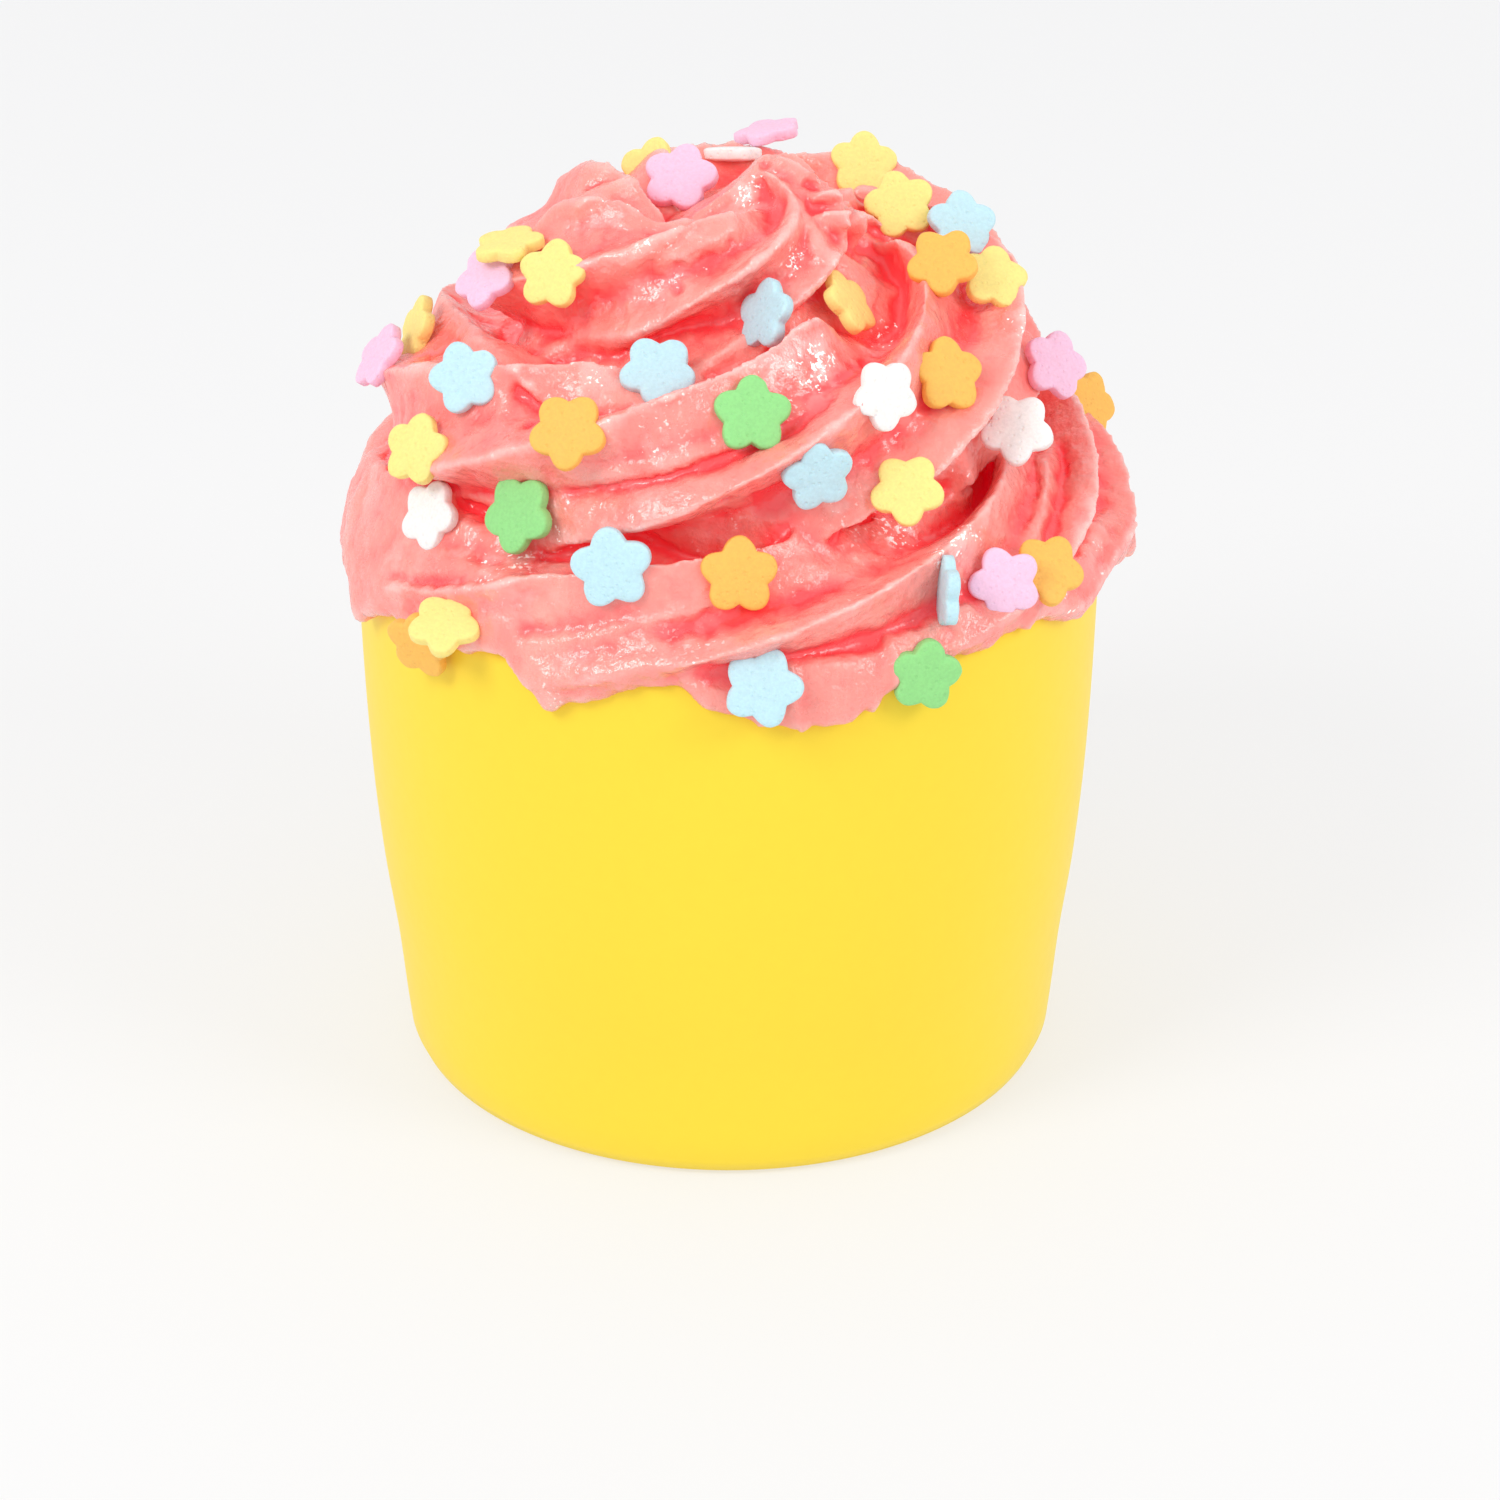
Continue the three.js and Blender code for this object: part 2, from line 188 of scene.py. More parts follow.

# Where glints and a pale sheen are painted on the frosting, which is also glossier there: a place in the
# camera's view, how wide and how much.
PaintedShinePatch = namedtuple("PaintedShinePatch", "x_px y_px reach_mm share")
PAINTED_SHINE_PATCHES = (
    PaintedShinePatch(812, 362, 3.4, 1.0), PaintedShinePatch(786, 374, 3.0, 0.9), PaintedShinePatch(748, 192, 3.2, 0.8),
    PaintedShinePatch(700, 235, 3.2, 0.5), PaintedShinePatch(790, 152, 3.0, 0.9), PaintedShinePatch(612, 205, 4.0, 0.55),
    PaintedShinePatch(778, 230, 2.2, 0.6), PaintedShinePatch(800, 262, 2.5, 0.6), PaintedShinePatch(660, 280, 3.0, 0.4),
    PaintedShinePatch(945, 470, 3.2, 0.8), PaintedShinePatch(960, 540, 3.6, 0.8), PaintedShinePatch(900, 520, 3.0, 0.6),
    PaintedShinePatch(860, 540, 3.0, 0.4), PaintedShinePatch(600, 370, 3.4, 0.6), PaintedShinePatch(640, 440, 3.4, 0.5),
    PaintedShinePatch(490, 560, 4.5, 0.6), PaintedShinePatch(560, 522, 4.0, 0.6), PaintedShinePatch(620, 508, 4.0, 0.5),
    PaintedShinePatch(400, 575, 3.4, 0.45), PaintedShinePatch(368, 495, 3.0, 0.45), PaintedShinePatch(1010, 320, 2.4, 0.7),
    PaintedShinePatch(830, 505, 3.0, 0.5), PaintedShinePatch(1000, 420, 2.8, 0.8), PaintedShinePatch(1060, 600, 3.0, 0.7),
    PaintedShinePatch(1100, 560, 2.8, 0.6), PaintedShinePatch(570, 690, 3.4, 0.5), PaintedShinePatch(715, 535, 3.0, 0.45),
    PaintedShinePatch(885, 345, 2.8, 0.6), PaintedShinePatch(505, 330, 3.0, 0.4), PaintedShinePatch(690, 630, 3.0, 0.3),
    PaintedShinePatch(1065, 335, 2.5, 0.7), PaintedShinePatch(530, 590, 3.0, 0.35), PaintedShinePatch(860, 600, 3.0, 0.35),
)

# Small ridges (rise above 0) and creases (below 0) that follow lines in the camera's view.
FOLD_STEP_PX = 5
FOLD_ROUND_PX = 14  # a fold is pushed the way that the frosting faces, this far round it
FOLD_GAP = 0.004  # a fold stops where the frosting drops away by this much
FOLD_FADE = 5  # how steeply a fold rises from its ends
Fold = namedtuple("Fold", "rise_mm spread_mm line_px")
FOLDS = (
    Fold(-0.9, 1.6, ((545, 494), (600, 488), (656, 478), (720, 458), (790, 425), (840, 392))),
    Fold(0.5, 1.3, ((552, 482), (600, 477), (656, 467), (720, 446), (785, 414))),
    Fold(0.8, 2.0, ((460, 337), (490, 350), (512, 366), (530, 385), (545, 402))),
    Fold(0.8, 1.8, ((528, 376), (545, 358), (575, 343), (620, 335), (662, 329))),
    Fold(-0.9, 1.8, ((512, 385), (535, 400), (550, 410))),
    Fold(-0.7, 1.6, ((560, 402), (600, 412), (650, 408), (700, 392), (752, 362))),
    Fold(-0.8, 1.6, ((395, 470), (440, 488), (480, 500), (530, 505))),
    Fold(0.6, 1.5, ((360, 595), (400, 588), (440, 592), (500, 586), (560, 568))),
    Fold(-0.5, 1.3, ((372, 570), (420, 580), (470, 578), (520, 570))),
    Fold(0.8, 1.7, ((655, 268), (675, 257), (700, 246), (724, 236), (745, 222))),
    Fold(1.6, 3.0, ((668, 398), (700, 376), (728, 357), (760, 337), (790, 316), (817, 298))),
    Fold(-0.2, 1.3, ((690, 690), (740, 682), (800, 664), (850, 645), (900, 622))),
    Fold(0.6, 1.5, ((788, 176), (798, 190), (807, 219), (815, 240), (830, 262), (855, 276), (876, 291))),
    Fold(1.2, 1.3, ((802, 221), (820, 220), (845, 217), (872, 224), (893, 240), (905, 265))),
    Fold(-1.3, 3.2, ((822, 242), (850, 240), (874, 250), (886, 268), (890, 292))),
    Fold(-1.2, 1.0, ((812, 209), (835, 206), (860, 209), (885, 216))),
    Fold(-1.2, 1.2, ((800, 178), (815, 182), (832, 184))),
    Fold(0.8, 1.6, ((568, 216), (590, 202), (618, 190), (648, 180))),
    Fold(-0.7, 1.5, ((580, 194), (602, 180), (630, 170))),
    Fold(1.0, 1.1, ((800, 200), (820, 198), (840, 193), (865, 193), (900, 200))),
    Fold(0.6, 1.6, ((786, 176), (790, 196), (778, 235), (757, 262), (725, 282), (697, 295))),
    Fold(0.5, 1.5, ((776, 166), (745, 183), (710, 208), (670, 236), (630, 262), (590, 288))),
    Fold(0.9, 1.8, ((512, 650), (560, 642), (620, 630), (680, 615), (736, 600))),
    Fold(0.5, 1.2, ((1046, 612), (1070, 606), (1092, 600))),
    Fold(-3.2, 1.7, ((446, 496), (468, 502), (490, 510), (506, 516))),
    Fold(-1.2, 1.3, ((528, 553), (555, 553), (580, 551), (606, 543))),
    Fold(0.9, 1.7, ((1046, 440), (1045, 480), (1037, 520), (1020, 555))),
    Fold(-0.8, 1.6, ((1062, 435), (1064, 480), (1055, 525), (1038, 565))),
    Fold(1.8, 2.6, ((952, 455), (962, 474), (952, 495), (925, 515), (888, 530))),
)

# ------------------------------------------------------------------ places of the sugar flowers

SUGAR_COLOURS = {
    "pink": (0.95, 0.59, 0.78), "yellow": (0.97, 0.8, 0.26), "blue": (0.54, 0.79, 0.87),
    "orange": (0.97, 0.52, 0.1), "green": (0.3, 0.72, 0.25), "white": (0.92, 0.9, 0.88),
}
FLOWER_WIDTH_MM = 5.9
FLOWER_THICKNESS_MM = 1.25

# Rays feel for the frosting under a flower, from PROBE off it. Each ring is a share of the flower's half
# width, and each ray is turned on from the last by so many radians.
PROBE = 0.006
MEAN_RINGS = (0.0,) + (0.5,) * 4 + (1.0,) * 8
MEAN_STEP = 2.4
REST_RINGS = (0.0,) + (0.45,) * 6 + (0.9,) * 10
REST_STEP = 1.05

# How deep a flower is pressed in, and how many of the highest places under it hold it up.
FLAT = (0.00035, 4)
TURNED = (0.0006, 3)
SCATTERED = (0.0005, 4)

# A flower that is placed is moved a few times towards its pixel. It counts as there within NEAR_PX. A
# pixel beside the frosting is first moved towards the swirl's middle.
SEAT_TRIES = 6
SEAT_STEP = 0.8
NEAR_PX = 14.0
SWIRL_MIDDLE = (0.0, 0.0, 0.055)
INWARDS_STEP = 0.01
TOWARDS_VIEW = 0.6  # a flower on the front rests on the bumps that turn it this much to the camera

# The flowers on the far side lie on places that face out and up, clear of each other and out of view.
SCATTER_TRIES = 20000
SCATTER_MIDDLE_X = 0.002
SCATTER_LOWEST = 0.047
SCATTER_UP = 0.6
SCATTER_FACING = 0.5
SCATTER_CLEAR = (0.0005, 0.02)  # where the ray that looks for frosting over a place starts and ends
SCATTER_LEAN = 0.16
SCATTER_SIZES = (0.96, 1.08)
SPACING = 0.0068
HIDDEN_RISE = 0.0008  # the camera mustn't see this high above a flower, within the first ring below
HIDDEN_RINGS = (0.0045, 0.003, 0.0015)

# A flower that shows from the front. x_px and y_px place its middle in the camera's view. spin turns a
# petal clockwise from straight up. A flower lies flat on the frosting unless it has a turn, to the right,
# and a dip, downwards, in degrees from facing the camera. lift_mm raises it, and size is its width as a
# share of FLOWER_WIDTH_MM.
Spot = namedtuple("Spot", "colour x_px y_px spin turn dip lift_mm size", defaults=(None, 0.0, 0.0, 1.0))
SPOTS = (
    Spot("pink", 680, 178, 12, -8, -24, 0.9, 1.08),
    Spot("yellow", 553, 275, 8, -22, -12, 0.9),
    Spot("pink", 487, 277, 45, -36, -24, 0.5),
    Spot("yellow", 509, 245, 4, -18, -60, 1.2),
    Spot("yellow", 417, 332, 20, -68, -14, 0.8, 1.05),
    Spot("pink", 380, 357, 10, -58, -25, 0.3),
    Spot("blue", 465, 378, 56, -14, -8, 0.6),
    Spot("blue", 658, 372, 37, size=1.05),
    Spot("orange", 568, 432, 38, size=1.05),
    Spot("pink", 768, 132, 20, -28, -66, -0.5),
    Spot("white", 728, 154, 30, 0, -82),
    Spot("yellow", 652, 172, 10, -20, -10, -3.0),
    Spot("yellow", 863, 165, 5, 6, -12, 0.4),
    Spot("yellow", 900, 205, 56, 0, -12, 1.2),
    Spot("blue", 962, 225, 0, 14, -14, 0.9),
    Spot("orange", 943, 262, 35, -10, -20, 0.4),
    Spot("yellow", 993, 278, 12, 20, -25, 0.6),
    Spot("yellow", 848, 303, -28, 58, -28, 0.4),
    Spot("blue", 766, 315, 5, -50, -10, 1.0),
    Spot("white", 885, 395, 40, size=0.97),
    Spot("orange", 947, 375, 68, size=1.05),
    Spot("pink", 1055, 365, 20, 30, -12, 1.0),
    Spot("orange", 1089, 404, 30, 46, -8, -0.6),
    Spot("white", 1017, 429, 38, -4, -12, 2.4, 1.02),
    Spot("green", 752, 415, 2, size=1.05),
    Spot("blue", 818, 475, 60),
    Spot("yellow", 907, 490, 33, -6, -12, 0.9),
    Spot("yellow", 417, 450, 15, -30, -10, 0.7),
    Spot("white", 430, 515, 36, -42, -6, 0.5),
    Spot("green", 519, 514, 50, -34, -4, 1.3, 1.08),
    Spot("blue", 612, 568, 64, size=1.1),
    Spot("orange", 739, 575, 0, size=1.05),
    Spot("blue", 948, 592, 10, -82, 0),
    Spot("pink", 1005, 583, 50, 10, 6, 0.2),
    Spot("orange", 1048, 570, 30),
    Spot("yellow", 445, 625, 32, -8, -34, 0.9),
    Spot("orange", 420, 644, 20, -38, 34, 1.4),
    Spot("blue", 763, 687, 20, 0, 2, 1.2, 1.08),
    Spot("green", 925, 675, 5),
)


# ------------------------------------------------------------------ numbers and meshes


def curve(knots, values, at):
    """Monotone cubic through the knots, read at every value of `at`."""
    x = np.asarray(knots, float)
    y = np.asarray(values, float)
    at = np.asarray(at, float)
    step = np.diff(x)
    slope = np.diff(y) / step
    tangent = np.empty_like(y)
    tangent[0] = slope[0]
    tangent[-1] = slope[-1]
    for i in range(1, len(y) - 1):
        if slope[i - 1] * slope[i] <= 0:
            tangent[i] = 0.0
            continue
        before = 2 * step[i] + step[i - 1]
        after = step[i] + 2 * step[i - 1]
        tangent[i] = (before + after) / (before / slope[i - 1] + after / slope[i])
    i = np.clip(np.searchsorted(x, at, side="right") - 1, 0, len(step) - 1)
    h = step[i]
    t = np.clip((at - x[i]) / h, 0, 1)
    return (
        (1 + 2 * t) * (1 - t) ** 2 * y[i]
        + t * (1 - t) ** 2 * h * tangent[i]
        + t * t * (3 - 2 * t) * y[i + 1]
        + t * t * (t - 1) * h * tangent[i + 1]
    )


def on_circle(angle):
    """Points on a circle of radius 1 at these angles."""
    return np.stack([np.cos(angle), np.sin(angle), 0 * angle], -1)


def round_about(count):
    """A circle's points, evenly spread."""
    return on_circle(np.linspace(0, 2 * math.pi, count, endpoint=False))


def new_object(name, data):
    made = bpy.data.objects.new(name, data)
    bpy.context.scene.collection.objects.link(made)
    return made


def skinned(name, rings):
    """A closed mesh over rings of points (count, around, 3), with a fan over each end."""
    rings = np.asarray(rings, float)
    count, around, _ = rings.shape
    points = np.concatenate([rings.reshape(-1, 3), rings[0].mean(0)[None], rings[-1].mean(0)[None]])
    start, end = count * around, count * around + 1
    faces = []
    for j in range(around):
        k = (j + 1) % around
        faces.append((start, k, j))
        for i in range(count - 1):
            faces.append((i * around + j, i * around + k, (i + 1) * around + k, (i + 1) * around + j))
        faces.append((end, (count - 1) * around + j, (count - 1) * around + k))
    mesh = bpy.data.meshes.new(name)
    mesh.from_pydata(points.tolist(), [], faces)
    outward(mesh)
    return mesh


def outward(mesh):
    """Turns a closed mesh's faces outwards."""
    build = bmesh.new()
    build.from_mesh(mesh)
    bmesh.ops.recalc_face_normals(build, faces=build.faces)
    build.to_mesh(mesh)
    build.free()


def evaluated_mesh(made, name):
    """The object's mesh with its modifiers applied, under a name of its own."""
    graph = bpy.context.evaluated_depsgraph_get()
    mesh = bpy.data.meshes.new_from_object(made.evaluated_get(graph))
    mesh.name = name
    return mesh


def points_of(mesh):
    flat = np.empty(len(mesh.vertices) * 3)
    mesh.vertices.foreach_get("co", flat)
    return flat.reshape(-1, 3)


def set_points(mesh, points):
    mesh.vertices.foreach_set("co", points.ravel())
    mesh.update()


def note(mesh, name, values):
    """Stores a number, or a vector, on each point of a mesh."""
    values = np.array(values, float)
    kind, field = ("FLOAT", "value") if values.ndim == 1 else ("FLOAT_VECTOR", "vector")
    mesh.attributes.new(name, kind, "POINT").data.foreach_set(field, values.ravel())


def shade_smooth(mesh):
    mesh.polygons.foreach_set("use_smooth", [True] * len(mesh.polygons))
    mesh.update()


def joined_mesh(meshes):
    build = bmesh.new()
    for mesh in meshes:
        build.from_mesh(mesh)
    joined = bpy.data.meshes.new("block")
    build.to_mesh(joined)
    build.free()
    return joined


def remeshed(mesh, size):
    """One closed skin round everything in a mesh, with its creases softened."""
    made = new_object("block", mesh)
    remesh = made.modifiers.new("remesh", "REMESH")
    remesh.mode = "VOXEL"
    remesh.voxel_size = size
    smooth = made.modifiers.new("smooth", "SMOOTH")
    smooth.factor = SOFTEN
    smooth.iterations = SOFTEN_STEPS
    dense = evaluated_mesh(made, "dense")
    bpy.data.objects.remove(made)
    return dense


def thinned(mesh, most_faces):
    faces = sum(len(p.vertices) - 2 for p in mesh.polygons)
    made = new_object("dense", mesh)
    thin = made.modifiers.new("thin", "DECIMATE")
    thin.ratio = min(1.0, most_faces / faces)
    mesh = evaluated_mesh(made, "skin")
    bpy.data.objects.remove(made)
    return mesh


def finish_piece(name, mesh, material):
    """Gives a finished mesh its material and its place in the frame."""
    mesh.materials.clear()
    mesh.materials.append(material)
    made = new_object(name, mesh)
    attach(made, "root")
    return made


# ------------------------------------------------------------------ node trees


class Number:
    """A node's output. Python's arithmetic on it adds Math nodes."""

    def __init__(self, tree, socket):
        self.tree = tree
        self.socket = socket

    def math(self, operation, *others):
        return self.tree.math(operation, self, *others)

    def __add__(self, other):
        return self.math("ADD", other)

    __radd__ = __add__

    def __mul__(self, other):
        return self.math("MULTIPLY", other)

    __rmul__ = __mul__

    def __sub__(self, other):
        return self.math("SUBTRACT", other)

    def __rsub__(self, other):
        return self.tree.math("SUBTRACT", other, self)

    def __truediv__(self, other):
        return self.math("DIVIDE", other)

    def __pow__(self, other):
        return self.math("POWER", other)

    def clamped(self):
        return self.math("MINIMUM", 1.0).math("MAXIMUM", 0.0)


class Tree:
    """Adds nodes to a shader or geometry tree and links what they are given."""

    def __init__(self, tree):
        self.tree = tree

    def add(self, kind, settings=None, inputs=None, out=0):
        node = self.tree.nodes.new(kind)
        for name, value in (settings or {}).items():
            setattr(node, name, value)
        for key, value in (inputs or {}).items():
            if isinstance(value, Number):
                self.tree.links.new(value.socket, node.inputs[key])
            else:
                node.inputs[key].default_value = value
        return Number(self, node.outputs[out]) if node.outputs else node

    def math(self, operation, *values):
        return self.add("ShaderNodeMath", {"operation": operation}, dict(enumerate(values)))

    def other(self, number, out):
        """Another output of the node that a number comes from."""
        return Number(self, number.socket.node.outputs[out])

    def vector(self, operation, a, b=None, out=0):
        values = {0: a} if b is None else {0: a, 1: b}
        return self.add("ShaderNodeVectorMath", {"operation": operation}, values, out)

    def scaled(self, vector, number):
        return self.add("ShaderNodeVectorMath", {"operation": "SCALE"}, {0: vector, "Scale": number})

    def dot(self, a, b):
        return self.vector("DOT_PRODUCT", a, b, "Value")

    def xyz(self, x=0.0, y=0.0, z=0.0):
        return self.add("ShaderNodeCombineXYZ", {}, {0: x, 1: y, 2: z})

    def parts(self, vector):
        """Three numbers, for a vector's X, Y and Z."""
        x = self.add("ShaderNodeSeparateXYZ", {}, {0: vector})
        return x, self.other(x, "Y"), self.other(x, "Z")

    def noise(self, vector, scale, detail=2.0, roughness=0.5):
        values = {"Vector": vector, "Scale": scale, "Detail": detail, "Roughness": roughness}
        return self.add("ShaderNodeTexNoise", {}, values)

    def ramp(self, number, low, high):
        """0 below low, 1 above high, smooth between."""
        settings = {"interpolation_type": "SMOOTHSTEP"}
        values = {"Value": number, "From Min": low, "From Max": high}
        return self.add("ShaderNodeMapRange", settings, values)

    def blend(self, factor, a, b):
        """A colour between a and b."""
        settings = {"data_type": "RGBA", "clamp_factor": True}
        return self.add("ShaderNodeMix", settings, {0: factor, 6: a, 7: b}, 2)


class Shader(Tree):
    """A material's tree."""

    def place(self):
        return self.add("ShaderNodeTexCoord", out="Object")

    def attribute(self, name, out="Fac"):
        return self.add("ShaderNodeAttribute", {"attribute_name": name}, out=out)

    def cells(self, vector, scale):
        """The distance to the middle of each cell."""
        return self.add("ShaderNodeTexVoronoi", {}, {"Vector": vector, "Scale": scale})

    def bump(self, strength, distance, height):
        values = {"Strength": strength, "Distance": distance, "Height": height}
        return self.add("ShaderNodeBump", {}, values)


def new_material(name):
    material = bpy.data.materials.new(name)
    material.use_nodes = True
    material.node_tree.nodes.clear()
    return material, Shader(material.node_tree)


def surface(tree, inputs):
    shader = tree.add("ShaderNodeBsdfPrincipled", {}, inputs)
    tree.add("ShaderNodeOutputMaterial", {}, {"Surface": shader})


def rgba(colour):
    return (*colour[:3], 1.0)


class NodeGroup(Tree):
    """A Geometry Nodes tree with named inputs."""

    def __init__(self, name, sizes):
        group = bpy.data.node_groups.new(name, "GeometryNodeTree")
        super().__init__(group)
        face = group.interface
        face.new_socket("Geometry", in_out="INPUT", socket_type="NodeSocketGeometry")
        for label, kind, value in sizes:
            socket = face.new_socket(label, in_out="INPUT", socket_type="NodeSocket" + kind)
            if value is not None:
                socket.default_value = value
        face.new_socket("Geometry", in_out="OUTPUT", socket_type="NodeSocketGeometry")
        self.inputs = group.nodes.new("NodeGroupInput")
        self.result = group.nodes.new("NodeGroupOutput")

    def given(self, label):
        return Number(self, self.inputs.outputs[label])

    def here(self):
        return self.add("GeometryNodeInputPosition")

    def seeded(self):
        """The position, moved by the seed, for noise."""
        return self.vector("ADD", self.here(), self.scaled((1.0, 1.0, 1.0), self.given("Seed")))

    def uneven(self, vector, scale, detail=2.0, roughness=0.5):
        """Noise from about -1 to 1."""
        return (self.noise(vector, scale, detail, roughness) - 0.5) * 2.0

    def attribute(self, name, kind="FLOAT"):
        return self.add("GeometryNodeInputNamedAttribute", {"data_type": kind}, {"Name": name})

    def sample(self, geometry, value, index, kind):
        values = {"Geometry": geometry, "Value": value, "Index": index}
        return self.add("GeometryNodeSampleIndex", {"data_type": kind, "domain": "POINT"}, values)

    def shaped_grid(self, x_count, y_count):
        """A square of points from -0.5 to 0.5, to be bent into shape, and each one's X and Y."""
        sizes = {"Size X": 1.0, "Size Y": 1.0, "Vertices X": x_count, "Vertices Y": y_count}
        grid = self.add("GeometryNodeMeshGrid", {}, sizes)
        return grid, *self.parts(self.here())[:2]

    def moved_to(self, geometry, point):
        return self.add("GeometryNodeSetPosition", {}, {"Geometry": geometry, "Position": point})

    def moved_by(self, geometry, offset):
        return self.add("GeometryNodeSetPosition", {}, {"Geometry": geometry, "Offset": offset})

    def merged(self, geometry):
        return self.add("GeometryNodeMergeByDistance", {}, {"Geometry": geometry, "Distance": 1e-6})

    def store(self, geometry, name, value, kind="FLOAT"):
        values = {"Geometry": geometry, "Name": name, "Value": value}
        return self.add("GeometryNodeStoreNamedAttribute", {"data_type": kind, "domain": "POINT"}, values)

    def finish(self, geometry, material):
        real = self.add("GeometryNodeRealizeInstances", {}, {0: geometry})
        painted = self.add("GeometryNodeSetMaterial", {}, {"Geometry": real, "Material": material})
        self.tree.links.new(painted.socket, self.result.inputs[0])

    def apply(self, made, name, **values):
        """Runs the tree on an object and returns the plain mesh that it makes."""
        modifier = made.modifiers.new(name, "NODES")
        modifier.node_group = self.tree
        for item in self.tree.interface.items_tree:
            if item.in_out == "INPUT" and item.name in values:
                modifier[item.identifier] = values[item.name]
        mesh = evaluated_mesh(made, name)
        made.modifiers.remove(modifier)
        return mesh


# ------------------------------------------------------------------ the swirl


def coil_angle(share):
    return math.radians(START_DEG) + 2 * math.pi * COIL_TURNS * np.asarray(share, float)


def coil_axis(share):
    lean = [curve(SLOWEST, values, share) * MM for values in (LEAN_X_MM, LEAN_Y_MM)]
    return np.stack([*lean, 0 * lean[0]], -1)


def coil_centre(share):
    angle = coil_angle(share)
    r = curve(EVEN, COIL_RADIUS_MM, share)
    out = np.stack([r * np.cos(angle), r * np.sin(angle), curve(EVEN, COIL_HEIGHT_MM, share)], -1)
    return coil_axis(share) + out * MM


def star_angle(share, teeth):
    """How far the star has turned in its own plane by this share of the coil."""
    fine = np.linspace(0, 1, 2000)
    rate = curve(SLOW, STAR_TWIST, fine) * COIL_TURNS
    total = np.concatenate([[0], np.cumsum((rate[1:] + rate[:-1]) / 2 * np.diff(fine))])
    return 2 * math.pi * (np.interp(share, fine, total) + FIRST_TOOTH / teeth)


def edge_at(angle):
    """Radius and height of the frosting's lower edge at an angle about the cup."""
    degrees = np.degrees(angle) % 360  # EDGE is carried on past both ends, so that the curve closes
    entries = [(a - 360, r, z) for a, r, z in EDGE[-3:]] + list(EDGE)
    entries += [(a + 360, r, z) for a, r, z in EDGE[:3]]
    azimuth, radius, height = zip(*entries)
    return curve(azimuth, radius, degrees) * MM, curve(azimuth, height, degrees) * MM


def slump_at(angle):
    """1 where the frosting has slumped the most, 0 where it hasn't."""
    away = (np.degrees(angle) - SLUMP_DEG + 180) % 360 - 180
    return np.cos(np.clip(away / SLUMP_WIDTH_DEG, -1, 1) * math.pi / 2) ** 2


def slumped(mesh):
    """Draws in what stands out too far on the slumped side."""
    points = points_of(mesh)
    radius = np.hypot(points[:, 0], points[:, 1])
    most = np.interp(points[:, 2], np.array(SLUMP_HEIGHT_MM) * MM, np.array(SLUMP_RADIUS_MM) * MM)
    near = np.minimum(SLUMP_SPREAD * slump_at(np.arctan2(points[:, 1], points[:, 0])), 1.0)
    over = np.maximum(radius - most, 0) * near
    points[:, :2] *= (1 - SLUMP_PULL * over / np.maximum(radius, 1e-6))[:, None]
    set_points(mesh, points)
    return mesh


def coil_object(teeth):
    """A line of points along the rope's centre that carries what the rope needs to know at each."""
    share = np.linspace(0, 1, int(COIL_TURNS * STEPS_PER_TURN) + 1)
    share = np.concatenate([share[:1], share, share[-1:]])
    ahead, behind = np.minimum(share + SHARE_STEP, 1), np.maximum(share - SHARE_STEP, 0)
    along = coil_centre(ahead) - coil_centre(behind)
    along /= np.linalg.norm(along, axis=1)[:, None]
    left = np.clip((1 - share) * COIL_TURNS / TAPER_TURNS, 0, 1)
    radius = curve(SLOW, ROPE_RADIUS_MM, share) * MM * (TIP_SCALE + (1 - TIP_SCALE) * left ** TAPER_POWER)
    radius[[0, -1]] = 0.0
    angle = coil_angle(share)
    outwards = on_circle(angle)
    widest, floor = edge_at(angle)
    mesh = bpy.data.meshes.new("coil")
    mesh.from_pydata(coil_centre(share).tolist(), [(i, i + 1) for i in range(len(share) - 1)], [])
    notes = {"turn": share * COIL_TURNS, "radius": radius, "bearing": star_angle(share, teeth),
             "widest": widest, "floor": floor + EDGE_GAP_MM * MM, "along": along, "outwards": outwards,
             "axis": coil_axis(share), "depth": 1 - SLUMP_SHARE * slump_at(angle)}
    for name, values in notes.items():
        note(mesh, name, values)
    return new_object("coil", mesh)


